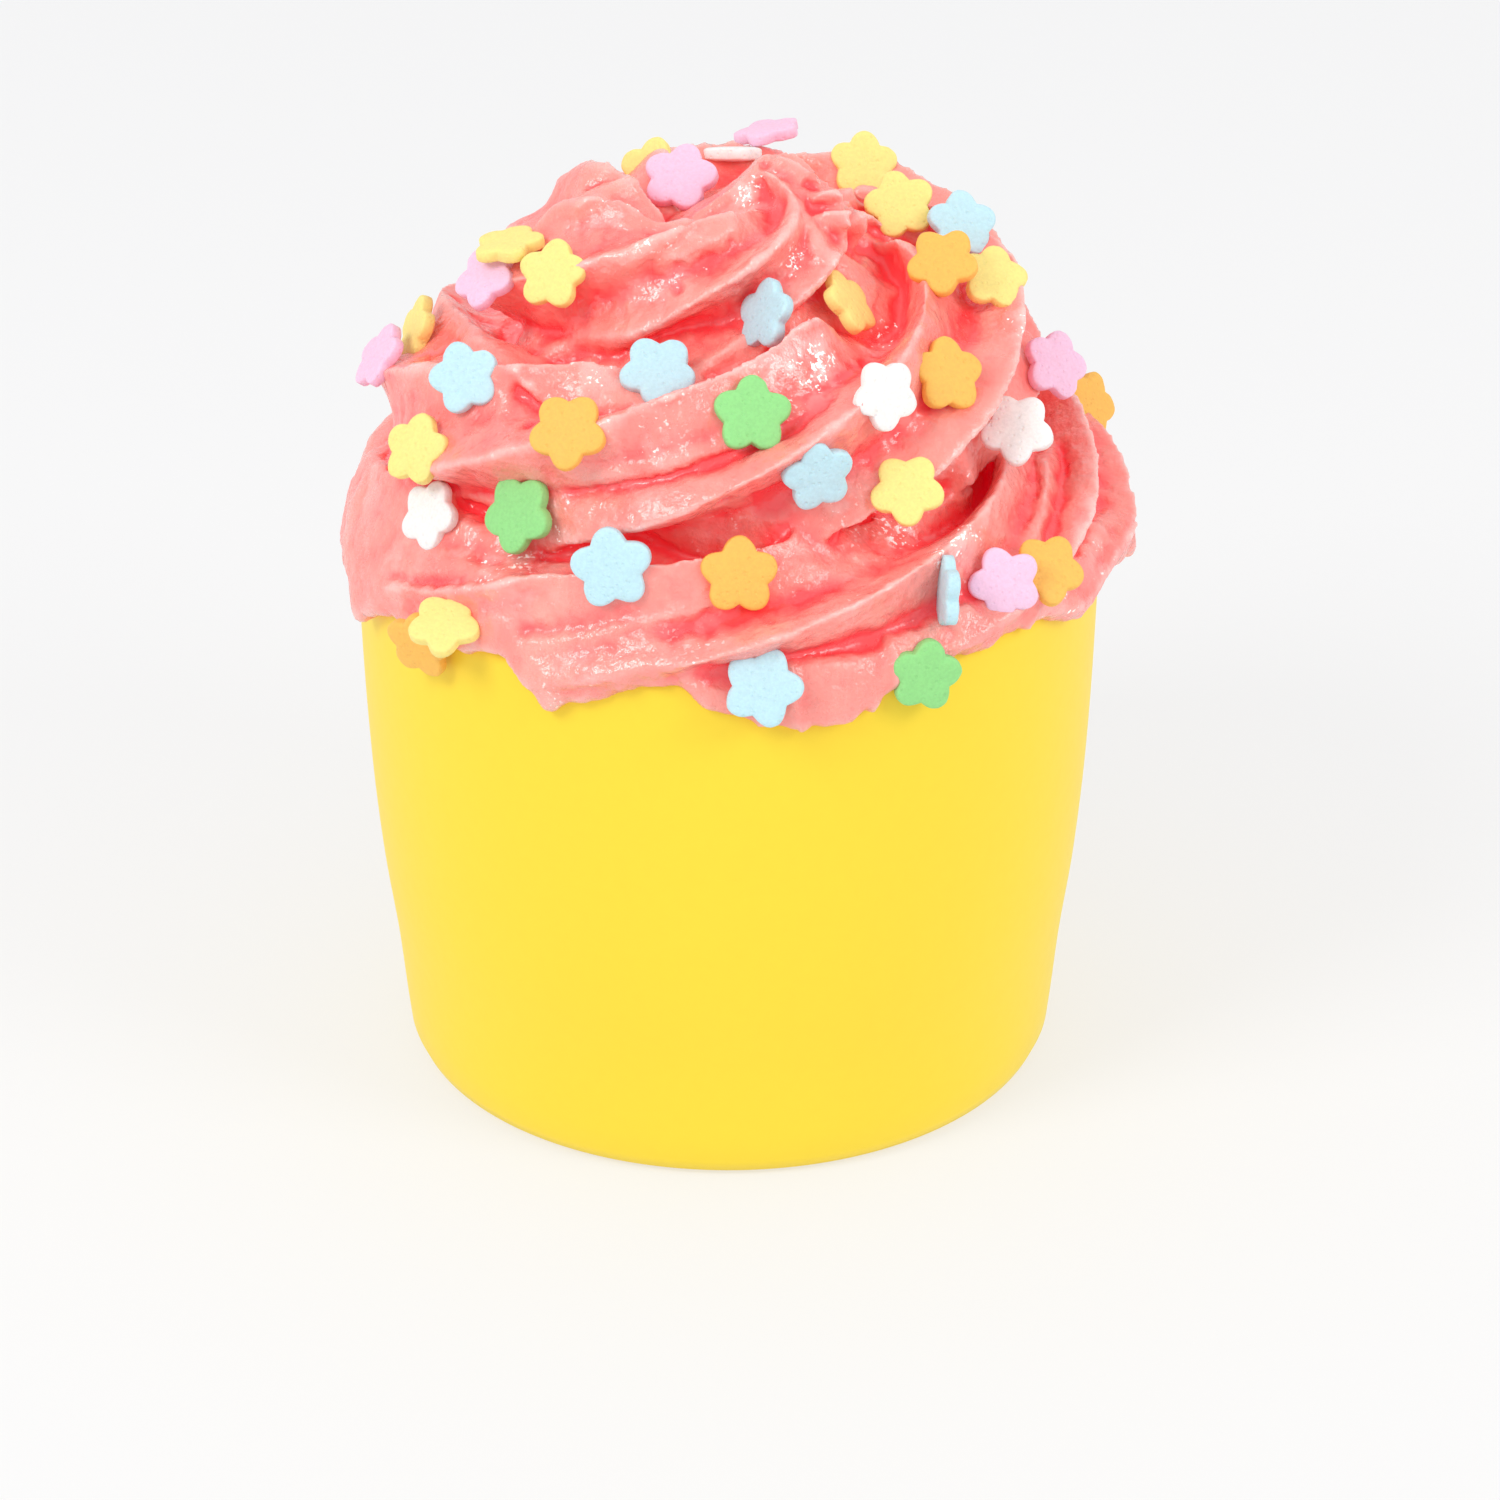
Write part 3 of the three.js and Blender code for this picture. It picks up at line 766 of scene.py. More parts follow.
def rope_tree():
    """Geometry Nodes: sweeps the star along the coil.

    The nozzle is held still while the hand circles, so the star keeps its bearing and only tips
    over to face along the rope. That sweeps its ridges up and round the swirl.
    """
    g = NodeGroup("Piped rope", (
        ("Points around", "Int", 110), ("Teeth", "Int", 5), ("Groove depth", "Float", 0.46),
        ("Ridge roundness", "Float", 0.85), ("Unevenness", "Float", 0.2), ("Ragged ridges", "Float", 0.08),
        ("Inner limit", "Float", INNER_LIMIT_MM * MM), ("Flare", "Float", 0.45), ("Seed", "Float", 3.0),
        ("Material", "Material", None),
    ))
    coil = g.given("Geometry")
    rows = g.add("GeometryNodeAttributeDomainSize", {"component": "MESH"}, {0: coil}, "Point Count")
    grid, x, y = g.shaped_grid(rows, g.given("Points around") + 1)
    row = ((x + 0.5) * (rows - 1)).math("ROUND")
    share = y + 0.5

    def at_row(name, kind="FLOAT"):
        return g.sample(coil, g.attribute(name, kind), row, kind)

    angle = at_row("bearing") + share * (2 * math.pi)
    tooth = (share * g.given("Teeth")).math("FRACT")
    groove = (tooth * math.pi).math("SINE").math("MAXIMUM", 0.0) ** g.given("Ridge roundness")
    turn = at_row("turn")
    cosine, sine = angle.math("COSINE"), angle.math("SINE")
    uneven = g.uneven(g.xyz(cosine, sine, turn * 4.0 + g.given("Seed")), 1.1, 1.0)
    depth = g.given("Groove depth") * at_row("depth") * (1 + uneven * g.given("Unevenness") * 2.0)
    along_ridge = g.xyz(cosine * 2.0, sine * 2.0, turn * 60.0)
    ragged = (g.noise(along_ridge, 1.0, 3.0, 0.6) - 0.5) * (1 - groove) * g.given("Ragged ridges") * 2.0
    reach = at_row("radius") * (1 - depth * groove + ragged)
    star = g.xyz(reach * cosine, reach * sine)
    along = at_row("along", "FLOAT_VECTOR")
    tip = g.add("FunctionNodeAlignRotationToVector", {"axis": "Z"}, {"Vector": along})
    turned = g.add("FunctionNodeRotateVector", {}, {"Vector": star, "Rotation": tip})
    point = g.vector("ADD", g.sample(coil, g.here(), row, "FLOAT_VECTOR"), turned)
    outwards = at_row("outwards", "FLOAT_VECTOR")
    inside = g.dot(g.vector("SUBTRACT", point, at_row("axis", "FLOAT_VECTOR")), outwards)
    short = (g.given("Inner limit") - inside).math("MAXIMUM", 0.0)
    point = g.vector("ADD", point, g.scaled(outwards, short))
    point = g.vector("MAXIMUM", point, g.xyz(-1.0, -1.0, at_row("floor")))
    level = g.vector("MULTIPLY", point, (1.0, 1.0, 0.0))
    height = g.parts(point)[2]
    room = at_row("widest") + (height - at_row("floor")) * g.given("Flare")
    over = (g.vector("LENGTH", level, out="Value") - room).math("MAXIMUM", 0.0)
    point = g.vector("SUBTRACT", point, g.scaled(g.vector("NORMALIZE", level), over))
    swept = g.store(g.moved_to(grid, point), "flow", g.xyz(cosine, sine, turn * 0.8), "FLOAT_VECTOR")
    g.finish(g.merged(g.store(swept, "groove", groove)), g.given("Material"))
    return g


def core_mesh():
    """The frosting inside the coil: level rings that follow its radius, height and lean."""
    rings = []
    for level, share in enumerate((0.0, *np.linspace(0, 1, CORE_LEVELS))):
        ring = coil_axis(share) + round_about(CORE_AROUND) * curve(EVEN, COIL_RADIUS_MM, share) * MM
        height = curve(EVEN, COIL_HEIGHT_MM, share) - curve(SLOWEST, CORE_DROP_MM, share)
        ring[:, 2] = (height if level else CORE_FOOT_MM) * MM
        rings.append(ring)
    return skinned("core", rings)


def fill_mesh():
    """The lumps that fill the gap by the peak."""
    build = bmesh.new()
    for x, y, z, radius in FILL_MM:
        place = Matrix.Translation(Vector((x, y, z)) * MM)
        bmesh.ops.create_icosphere(build, subdivisions=3, radius=radius * MM, matrix=place)
    mesh = bpy.data.meshes.new("fill")
    build.to_mesh(mesh)
    build.free()
    return mesh


def skirt_mesh():
    """The lower edge: loops once round the cup that follow the torn edge's radius and height."""
    angle = np.linspace(0, 2 * math.pi, SKIRT_AROUND, endpoint=False)
    radius, height = edge_at(angle)
    rng = np.random.default_rng(TORN_SEED)
    torn = rng.normal(0.0, TORN_MM * MM, (2, TORN_PLACES)) * rng.uniform(*TORN_SHARES, TORN_PLACES)
    torn[:, -1] = torn[:, 0]
    share = np.linspace(0, 1, len(angle), endpoint=False)
    places = np.linspace(0, 1, TORN_PLACES)
    radius = radius + TORN_INWARDS * curve(places, torn[0], share)
    height = height + curve(places, torn[1], share)
    circle = on_circle(angle)
    rings = []
    for inset, rise in SKIRT_MM:
        rings.append((circle.T * (radius - inset * MM)).T)
        rings[-1][:, 2] = height + rise * MM
    rings[-1][:, 2] = np.maximum(rings[-1][:, 2], SKIRT_TOP_MM * MM)
    for index, rise in zip((0, len(rings) + 1), SKIRT_INNER_HEIGHT_MM):
        rings.insert(index, circle * SKIRT_INNER_MM * MM)
        rings[index][:, 2] = rise * MM
    rings = np.array(rings)
    rings[:, :, 0] += SKIRT_SHIFT_X_MM * MM
    return skinned("skirt", rings)


def fold_tree():
    """Geometry Nodes: pinches ridges up and presses creases in along the folds' lines."""
    g = NodeGroup("Frosting folds", (
        ("Folds", "Object", None), ("Sharpness", "Float", 1.6), ("Unevenness", "Float", 0.45),
        ("Seed", "Float", 7.0), ("Material", "Material", None),
    ))
    folds = g.add("GeometryNodeObjectInfo", {}, {"Object": g.given("Folds")}, "Geometry")
    away = g.add("GeometryNodeProximity", {"target_element": "EDGES"}, {0: folds}, "Distance")
    nearest = g.add("GeometryNodeSampleNearest", {"domain": "POINT"},
                    {"Geometry": folds, "Sample Position": g.here()})

    def of_fold(name, kind="FLOAT"):
        return g.sample(folds, g.attribute(name, kind), nearest, kind)

    near = (1 - away / of_fold("spread")).math("MAXIMUM", 0.0) ** g.given("Sharpness")
    uneven = 1 + (g.noise(g.seeded(), 300.0) - 0.5) * g.given("Unevenness")
    offset = g.scaled(of_fold("push", "FLOAT_VECTOR"), near * uneven)
    g.finish(g.moved_by(g.given("Geometry"), offset), g.given("Material"))
    return g


def skin_tree():
    """Geometry Nodes: roughens the frosting, and notes how hollow it is and which way it flowed."""
    g = NodeGroup("Frosting skin", (
        ("Rope", "Object", None), ("Wobble", "Float", 0.00045), ("Streaks", "Float", 0.0004),
        ("Lumps", "Float", 0.0003), ("Pits", "Float", 0.0006), ("Pit share", "Float", 0.13),
        ("Seed", "Float", 7.0), ("Material", "Material", None),
    ))
    rope = g.add("GeometryNodeObjectInfo", {}, {"Object": g.given("Rope")}, "Geometry")
    skin = g.given("Geometry")
    for name, kind in (("flow", "FLOAT_VECTOR"), ("groove", "FLOAT")):
        sampled = {"Mesh": rope, "Value": g.attribute(name, kind), "Sample Position": g.here()}
        nearby = g.add("GeometryNodeSampleNearestSurface", {"data_type": kind}, sampled, "Value")
        skin = g.store(skin, name, nearby, kind)
    flow = g.attribute("flow", "FLOAT_VECTOR")
    moved = g.seeded()
    wobble = g.uneven(moved, 85.0) * g.given("Wobble")
    streaks = g.uneven(g.scaled(flow, 7.0), 1.0, 3.0, 0.6) * g.given("Streaks")
    lumps = g.uneven(moved, 420.0, 3.0, 0.6) * g.given("Lumps")
    cells = g.add("ShaderNodeTexVoronoi", {}, {"Vector": moved, "Scale": 260.0})
    chosen = g.parts(g.other(cells, "Color"))[0]
    pit = 1 - g.ramp(cells, 0.08, 0.3)
    pit = pit * g.ramp(chosen, 1 - g.given("Pit share"), 1 - g.given("Pit share") * 0.7)
    offset = wobble + streaks + lumps - pit * g.given("Pits")
    normal = g.add("GeometryNodeInputNormal")
    blurred = {"Value": g.here(), "Iterations": 26}
    mean = g.add("GeometryNodeBlurAttribute", {"data_type": "FLOAT_VECTOR"}, blurred)
    hollow_mm = g.dot(g.vector("SUBTRACT", mean, g.here()), normal) * 1000.0
    skin = g.store(g.moved_by(skin, g.scaled(normal, offset)), "hollow", hollow_mm)
    g.finish(skin, g.given("Material"))
    return g


# ------------------------------------------------------------------ materials

# A pale painted sheen on the frosting.
PAINTED_SHEEN_COLOUR = (1.0, 0.8, 0.77, 1.0)
# The colour of the painted glints.
PAINTED_GLINT_COLOUR = (1.0, 0.93, 0.9, 1.0)
BLACK = (0.0, 0.0, 0.0, 1.0)
# A red painted glow that lifts the shade deep in the grooves, though nothing there is a lamp.
PAINTED_GROOVE_GLOW = (0.22, 0.0, 0.005, 1.0)
# A pale painted glow on the painted glints.
PAINTED_GLINT_GLOW = (0.8, 0.7, 0.68, 1.0)
CRUMB_COLOURS = (0.55, 0.33, 0.12, 1.0), (0.86, 0.62, 0.28, 1.0)


def frosting_material(settings):
    material, t = new_material("buttercream")
    place = t.place()
    hollow, groove, glitter = (t.attribute(name) for name in ("hollow", "groove", "glitter"))
    flow = t.attribute("flow", "Vector")
    facing = t.add("ShaderNodeNewGeometry", out="Normal")
    mottle = t.noise(place, 240.0, 4.0, 0.6)
    streaks = t.noise(t.scaled(flow, 16.0), 1.0, 4.0, 0.65)
    # Painted shade: the frosting is darker and redder in its hollows and grooves. Random mottling and
    # streaks vary it too.
    deep = t.ramp(hollow, -0.08, 0.38) * 0.95 + t.ramp(groove, 0.35, 1.0) * 0.36
    deep = (deep + (mottle - 0.5) * 0.5 + (streaks - 0.5) * 1.1 - 0.1).clamped()
    colour = t.blend(deep, rgba(settings.colour), rgba(settings.groove_shade_colour))
    # Painted highlight: the thin ridges are paler.
    edge = t.ramp(hollow * -1.0, 0.14, 0.6) * (0.6 + (streaks - 0.5) * 1.2)
    colour = t.blend(edge.clamped(), colour, rgba(settings.ridge_highlight_colour))
    fine = t.noise(place, 2600.0, 3.0, 0.65)
    # Painted glints: white specks where the frosting faces the glint direction, near the ridges and in the
    # listed glint patches.
    glint_specks = t.noise(place, 2700.0, 1.0, 0.5) * 0.6 + t.noise(t.scaled(flow, 24.0), 1.0, 2.0, 0.5) * 0.4
    patches = t.ramp(t.noise(place, 90.0, 2.0), 0.54, 0.68) * 0.25
    towards = t.ramp(t.dot(facing, settings.glint_direction), 0.45, 0.95)
    clumps = t.ramp(t.noise(place, 520.0, 2.0), 0.42, 0.62)
    spread = (patches * towards + edge * 0.12 + glitter * 0.75 * clumps + glitter ** 4 * 0.4).clamped()
    painted_glints = t.ramp(glint_specks, 0.605 - spread * 0.07, 0.67 - spread * 0.07) * t.ramp(spread, 0.05, 0.5)
    # Painted sheen: pale patches within the glint patches.
    pale = glitter * t.ramp(t.noise(place, 330.0, 3.0, 0.6), 0.46, 0.62) * 0.5
    colour = t.blend(painted_glints, t.blend(pale, colour, PAINTED_SHEEN_COLOUR), PAINTED_GLINT_COLOUR)
    # Painted glow: red in the shaded grooves and pale on the painted glints, given off as emission.
    glow = t.blend(painted_glints, t.blend(deep, BLACK, PAINTED_GROOVE_GLOW), PAINTED_GLINT_GLOW)
    height = (fine * 0.15 + t.noise(place, 800.0, 3.0) + streaks) * (1 - deep * 0.7)
    bump = t.bump(0.8, 0.00045, height)
    wet = t.ramp(t.noise(place, 130.0, 3.0, 0.6), 0.42, 0.62)
    rough = (0.34 - wet * 0.14 - glitter * 0.08 + (fine - 0.5) * 0.2).clamped()
    surface(t, {
        "Base Color": colour, "Roughness": rough, "Normal": bump, "Subsurface Weight": 0.3,
        "Subsurface Radius": (1.0, 0.3, 0.22), "Subsurface Scale": 0.0014, "Specular IOR Level": 0.85,
        "Emission Color": glow, "Emission Strength": 0.4,
    })
    return material


def cup_material(settings):
    material, t = new_material("cup card")
    place = t.place()
    fibre = t.noise(place, 900.0, 4.0, 0.6)
    colour = t.blend(fibre, rgba(settings.colour), rgba([c * 0.96 for c in settings.colour]))
    surface(t, {"Base Color": colour, "Roughness": 0.38 + fibre * 0.08,
                "Normal": t.bump(0.06, 0.0002, fibre), "Specular IOR Level": 0.25})
    return material


def sponge_material():
    material, t = new_material("sponge")
    crumb = t.cells(t.place(), 600.0)
    colour = t.blend(t.ramp(crumb, 0.1, 0.5), *CRUMB_COLOURS)
    surface(t, {"Base Color": colour, "Roughness": 0.9, "Normal": t.bump(0.8, 0.0006, crumb)})
    return material


def sugar_material(name, colour):
    material, t = new_material(name)
    place = t.place()
    grain = t.noise(place, 3500.0, 3.0, 0.6)
    shade = t.blend(t.ramp(grain, 0.35, 0.65), rgba([c * 0.93 for c in colour]), rgba(colour))
    height = t.ramp(t.cells(place, 1700.0), 0.05, 0.3) + grain * 0.3
    surface(t, {"Base Color": shade, "Roughness": 0.55 + grain * 0.2,
                "Normal": t.bump(0.35, 0.0002, height), "Subsurface Weight": 0.2,
                "Subsurface Radius": (1.0, 0.8, 0.6), "Subsurface Scale": 0.001})
    return material


# ------------------------------------------------------------------ the camera's view and the skin


class View:
    """The camera's view, for going between a pixel of it and a line in the scene."""

    def __init__(self):
        down = math.radians(CAMERA_DOWN_DEG)
        self.ahead = Vector((0.0, math.cos(down), -math.sin(down)))
        self.up = Vector((0.0, math.sin(down), math.cos(down)))
        self.right = Vector((1.0, 0.0, 0.0))
        self.zoom = LENS_MM / SENSOR_MM * VIEW_SIZE_PX

    def ray(self, x, y):
        half = VIEW_SIZE_PX / 2
        line = self.ahead * self.zoom + self.right * (x - half) + self.up * (half - y)
        return line.normalized()

    def pixel(self, point):
        away = Vector(point) - CAMERA_PLACE
        scale = self.zoom / away.dot(self.ahead)
        return (VIEW_SIZE_PX / 2 + away.dot(self.right) * scale,
                VIEW_SIZE_PX / 2 - away.dot(self.up) * scale)

    def facing(self, turn, dip):
        turn, dip = math.radians(turn), math.radians(dip)
        level = -self.ahead * math.cos(turn) + self.right * math.sin(turn)
        return level * math.cos(dip) - self.up * math.sin(dip)


def ring_points(middle, facing, reaches, step):
    """Points in the plane that faces this way, one at each reach from the middle."""
    side = facing.orthogonal().normalized()
    across = facing.cross(side)
    for k, reach in enumerate(reaches):
        yield middle + side * reach * math.cos(k * step) + across * reach * math.sin(k * step)


class Skin:
    """The frosting's surface, for finding what the camera sees of it and where a flower rests."""

    def __init__(self, mesh):
        build = bmesh.new()
        build.from_mesh(mesh)
        self.tree = BVHTree.FromBMesh(build)
        build.free()
        self.view = View()

    def seen(self, x, y):
        """The point that shows at a pixel, and the way it faces, or None for both."""
        return self.tree.ray_cast(CAMERA_PLACE, self.view.ray(x, y))[:2]

    def felt(self, point, facing, outwards, half_width, rings, step):
        """The way the frosting faces, or None, and how high it stands, where each ray meets it."""
        reaches = [half_width * share for share in rings]
        for start in ring_points(point, facing, reaches, step):
            hit, normal, _, distance = self.tree.ray_cast(start + outwards * PROBE, -outwards, 2 * PROBE)
            yield (normal, PROBE - distance) if hit else (None, -PROBE / 2)

    def normal_near(self, point, outwards, half_width):
        """The way the frosting faces round a point, on average."""
        total = Vector()
        for normal, _ in self.felt(point, outwards, outwards, half_width, MEAN_RINGS, MEAN_STEP):
            if normal is not None:
                total += normal
        return total.normalized() if total.length > 0 else outwards

    def rest(self, point, normal, outwards, half_width, press, touching):
        """How far outwards a disc at the point must move to rest on the frosting.

        It is held up by the highest places under it, apart from the few that it squashes.
        """
        felt = self.felt(point, normal, outwards, half_width, REST_RINGS, REST_STEP)
        return sorted(height for _, height in felt)[-touching] - press

    def place(self, spot):
        """The middle and the direction of a flower, and where its petal points."""
        half_width = FLOWER_WIDTH_MM * spot.size / 2 * MM
        x, y = spot.x_px, spot.y_px
        centre_x, centre_y = self.view.pixel(SWIRL_MIDDLE)
        tries = []
        for _ in range(SEAT_TRIES):
            point, normal = self.seen(x, y)
            while point is None:
                x += (centre_x - x) * INWARDS_STEP
                y += (centre_y - y) * INWARDS_STEP
                point, normal = self.seen(x, y)
            outwards = self.normal_near(point, (normal - self.view.ahead).normalized(), half_width)
            if spot.turn is None:
                direction = self.normal_near(point, outwards, half_width)
                direction = (direction - self.view.ahead * TOWARDS_VIEW).normalized()
                height = self.rest(point, direction, direction, half_width, *FLAT)
                middle = point + direction * (height + (FLOWER_THICKNESS_MM / 2 + spot.lift_mm) * MM)
            else:
                direction = self.view.facing(spot.turn, spot.dip)
                height = self.rest(point, direction, outwards, half_width, *TURNED)
                middle = point + outwards * (height + spot.lift_mm * MM)
            seen_x, seen_y = self.view.pixel(middle)
            miss = math.hypot(spot.x_px - seen_x, spot.y_px - seen_y)
            depth = (middle - CAMERA_PLACE).dot(self.view.ahead)
            tries.append((max(miss, NEAR_PX), depth, tuple(direction)))
            x += (spot.x_px - seen_x) * SEAT_STEP
            y += (spot.y_px - seen_y) * SEAT_STEP
        _, depth, direction = min(tries)
        ray = self.view.ray(spot.x_px, spot.y_px)
        middle = CAMERA_PLACE + ray * (depth / ray.dot(self.view.ahead))
        spin = math.radians(spot.spin)
        petal = self.view.up * math.cos(spin) + self.view.right * math.sin(spin)
        return middle, Vector(direction), petal

    def shows(self, middle, direction):
        """Whether the camera sees any of a flower, or of the space close round it."""
        outer, *inner = ([reach] * 16 for reach in HIDDEN_RINGS)
        starts = [*ring_points(middle + direction * HIDDEN_RISE, direction, [0.0] + outer, math.pi / 8),
                  *ring_points(middle, direction, sum(inner, []), math.pi / 8)]
        lines = [(start, CAMERA_PLACE - start) for start in starts]
        return any(self.tree.ray_cast(start, line.normalized(), line.length)[0] is None
                   for start, line in lines)

    def scatter(self, mesh, count, taken, seed):
        """Middles, directions and petals for flowers where the camera doesn't see the frosting."""
        rng = np.random.default_rng(seed)
        points = points_of(mesh)
        half_width = FLOWER_WIDTH_MM / 2 * MM
        placed = []
        for index in rng.permutation(len(points))[:SCATTER_TRIES]:
            if len(placed) == count:
                break
            point = Vector(points[index])
            normal = mesh.vertices[int(index)].normal
            level = Vector((point.x - SCATTER_MIDDLE_X, point.y, 0.0))
            outwards = level.normalized() + Vector((0, 0, SCATTER_UP))
            faces_view = normal.dot(self.view.ahead) < 0.0
            if normal.dot(outwards) < SCATTER_FACING or point.z < SCATTER_LOWEST or faces_view:
                continue
            if self.tree.ray_cast(point + normal * SCATTER_CLEAR[0], normal, SCATTER_CLEAR[1])[0]:
                continue
            if any((point - other).length < SPACING for other in taken):
                continue
            flat = self.normal_near(point, normal, half_width)
            direction = self.normal_near(point, flat, half_width)
            lean = Vector(rng.normal(0.0, SCATTER_LEAN, 3))
            direction = (direction + lean).normalized()
            height = self.rest(point, direction, direction, half_width, *SCATTERED)
            middle = point + direction * (height + FLOWER_THICKNESS_MM / 2 * MM)
            if self.shows(middle, direction):
                continue
            taken.append(middle)
            placed.append((middle, direction, Vector(rng.normal(0.0, 1.0, 3))))
        return placed


# ------------------------------------------------------------------ pushes, painted glints and folds


def nearness(points, middle, reach_mm):
    """1 at the middle, fading over the reach, for each point."""
    return np.exp(-(np.linalg.norm(points - np.array(middle), axis=1) / (reach_mm * MM)) ** 2)


def grabbed(mesh):
    """Pushes the soft frosting about, as a finger or a spatula would."""
    skin = Skin(mesh)
    points = points_of(mesh)
    moved = np.zeros_like(points)
    for grab in GRABS:
        middle, _ = skin.seen(grab.x_px, grab.y_px)
        if middle is None:
            raise RuntimeError(f"the grab at {grab.x_px}, {grab.y_px} misses the frosting")
        push = (skin.view.right * grab.right_mm + skin.view.up * grab.up_mm) * MM
        moved += nearness(points, middle, grab.reach_mm)[:, None] * np.array(push)
    set_points(mesh, points + moved)


def note_painted_shine(mesh):
    """Stores on each point how much glint and pale sheen is painted there, and how much glossier it is, for
    the frosting's material.
    """
    skin = Skin(mesh)
    points = points_of(mesh)
    share = np.zeros(len(points))
    for glitter in PAINTED_SHINE_PATCHES:
        middle, _ = skin.seen(glitter.x_px, glitter.y_px)
        if middle is not None:
            share = np.maximum(share, glitter.share * nearness(points, middle, glitter.reach_mm))
    note(mesh, "glitter", share)


def folds_object(mesh):
    """Lines on the frosting where it is pinched up into a small ridge or pressed into a crease."""
    skin = Skin(mesh)
    points, edges, push, spread = [], [], [], []
    for fold in FOLDS:
        line = np.array(fold.line_px, float)
        length = np.concatenate([[0], np.cumsum(np.linalg.norm(np.diff(line, axis=0), axis=1))])
        steps = np.linspace(0, length[-1], max(2, int(length[-1] / FOLD_STEP_PX)))
        last = None
        for step, x, y in zip(steps / length[-1], *(curve(length, line[:, k], steps) for k in (0, 1))):
            hit, _ = skin.seen(x, y)
            joined = hit is not None and last is not None
            if hit is None or (joined and (hit - last).length > FOLD_GAP):
                last = hit
                continue
            if joined:
                edges.append((len(points) - 1, len(points)))
            points.append(hit)
            outwards = -skin.view.ahead
            for k in range(8):
                near, normal = skin.seen(x + FOLD_ROUND_PX * math.cos(k), y + FOLD_ROUND_PX * math.sin(k))
                if near is not None and (near - hit).length < FOLD_GAP:
                    outwards = outwards + normal
            fade = min(1.0, FOLD_FADE * step, FOLD_FADE * (1 - step))
            push.append(outwards.normalized() * fold.rise_mm * fade * MM)
            spread.append(fold.spread_mm * MM)
            last = hit
    mesh = bpy.data.meshes.new("folds")
    mesh.from_pydata(points, edges, [])
    note(mesh, "spread", spread)
    note(mesh, "push", push)
    return new_object("folds", mesh)


# ------------------------------------------------------------------ a sugar flower


def facing_euler(direction, petal):
    """Euler angles that turn +Z to the direction and +Y to the petal."""
    across = petal.cross(direction).normalized()
    return Matrix((across, direction.cross(across), direction)).transposed().to_euler()


def flower_tree():
    """Geometry Nodes: a pressed five-petalled flower at every point, turned as the point says."""
    g = NodeGroup("Sugar flowers", (
        ("Width", "Float", FLOWER_WIDTH_MM * MM), ("Thickness", "Float", FLOWER_THICKNESS_MM * MM),
        ("Petals", "Int", 5), ("Notch", "Float", 0.73), ("Petal roundness", "Float", 1.15),
        ("Edge roundness", "Float", 0.3), ("Points around", "Int", 70), ("Rows", "Int", 17),
        ("Unevenness", "Float", 0.00016), ("Seed", "Float", 0.0), ("Material", "Material", None),
    ))
    grid, x, y = g.shaped_grid(g.given("Rows"), g.given("Points around") + 1)
    tilt = x * math.pi
    angle = (y + 0.5) * (2 * math.pi)
    petal = (angle * g.given("Petals") * 0.5).math("COSINE")
    petal = (petal * petal + 0.004).math("SQRT") ** g.given("Petal roundness")
    outline = g.given("Notch") + petal * (1 - g.given("Notch"))
    inwards = tilt.math("COSINE").math("MAXIMUM", 0.0) ** g.given("Edge roundness")
    rise = tilt.math("SINE")
    rise = rise.math("ABSOLUTE") ** g.given("Edge roundness") * rise.math("SIGN")
    reach = outline * inwards * g.given("Width") * 0.5
    dome = 1 - (inwards * inwards) * 0.12
    height = rise * dome * g.given("Thickness") * 0.5
    point = g.xyz(reach * angle.math("SINE"), reach * angle.math("COSINE"), height)
    flower = g.merged(g.moved_to(grid, point))
    turned = g.add("FunctionNodeEulerToRotation", {}, {0: g.attribute("turned", "FLOAT_VECTOR")})
    many = g.add("GeometryNodeInstanceOnPoints", {}, {
        "Points": g.given("Geometry"), "Instance": flower, "Rotation": turned, "Scale": g.attribute("size")})
    many = g.add("GeometryNodeRealizeInstances", {}, {0: many})
    where = g.vector("ADD", g.here(), g.xyz(g.given("Seed")))
    bumps = (g.noise(where, 420.0) - 0.5) * g.given("Unevenness") * 2.0
    bumps += (g.noise(where, 1500.0) - 0.5) * g.given("Unevenness") * 0.7
    g.finish(g.moved_by(many, g.scaled(g.add("GeometryNodeInputNormal"), bumps)), g.given("Material"))
    return g


# ------------------------------------------------------------------ stage


def floor_stage(settings):
    """A floor that curves up into a backdrop."""
    bend = BACK - SWEEP
    outline = [(-FLOOR_HALF, 0.0), (bend, 0.0)]
    for i in range(1, SWEEP_STEPS):
        a = math.pi / 2 * i / SWEEP_STEPS
        outline.append((bend + SWEEP * math.sin(a), SWEEP - SWEEP * math.cos(a)))
    outline += [(BACK, SWEEP), (BACK, BACK_TOP)]
    points = [(x, y, z) for y, z in outline for x in (-FLOOR_HALF, FLOOR_HALF)]
    faces = [(2 * i, 2 * i + 1, 2 * i + 3, 2 * i + 2) for i in range(len(outline) - 1)]
    mesh = bpy.data.meshes.new("floor")
    mesh.from_pydata(points, [], faces)
    shade_smooth(mesh)
    material, t = new_material("pale floor")
    surface(t, {"Base Color": rgba(settings.floor_colour), "Roughness": 0.8,
                "Emission Color": WHITE, "Emission Strength": settings.glow})
    mesh.materials.append(material)
    new_object("floor", mesh)


def light(name, place, watts):
    lamp = bpy.data.lights.new(name, "AREA")
    lamp.shape = "DISK"
    lamp.size = LIGHT_SIZE
    lamp.energy = watts
    made = new_object(name, lamp)
    made.location = place
    aim = Vector(LIGHT_AIM) - Vector(place)
    made.rotation_euler = aim.to_track_quat("-Z", "Y").to_euler()


# ------------------------------------------------------------------ settings


def colour_setting(label, about, default):
    return bpy.props.FloatVectorProperty(
        name=label, description=about, subtype="COLOR", default=default, min=0.0, max=1.0)


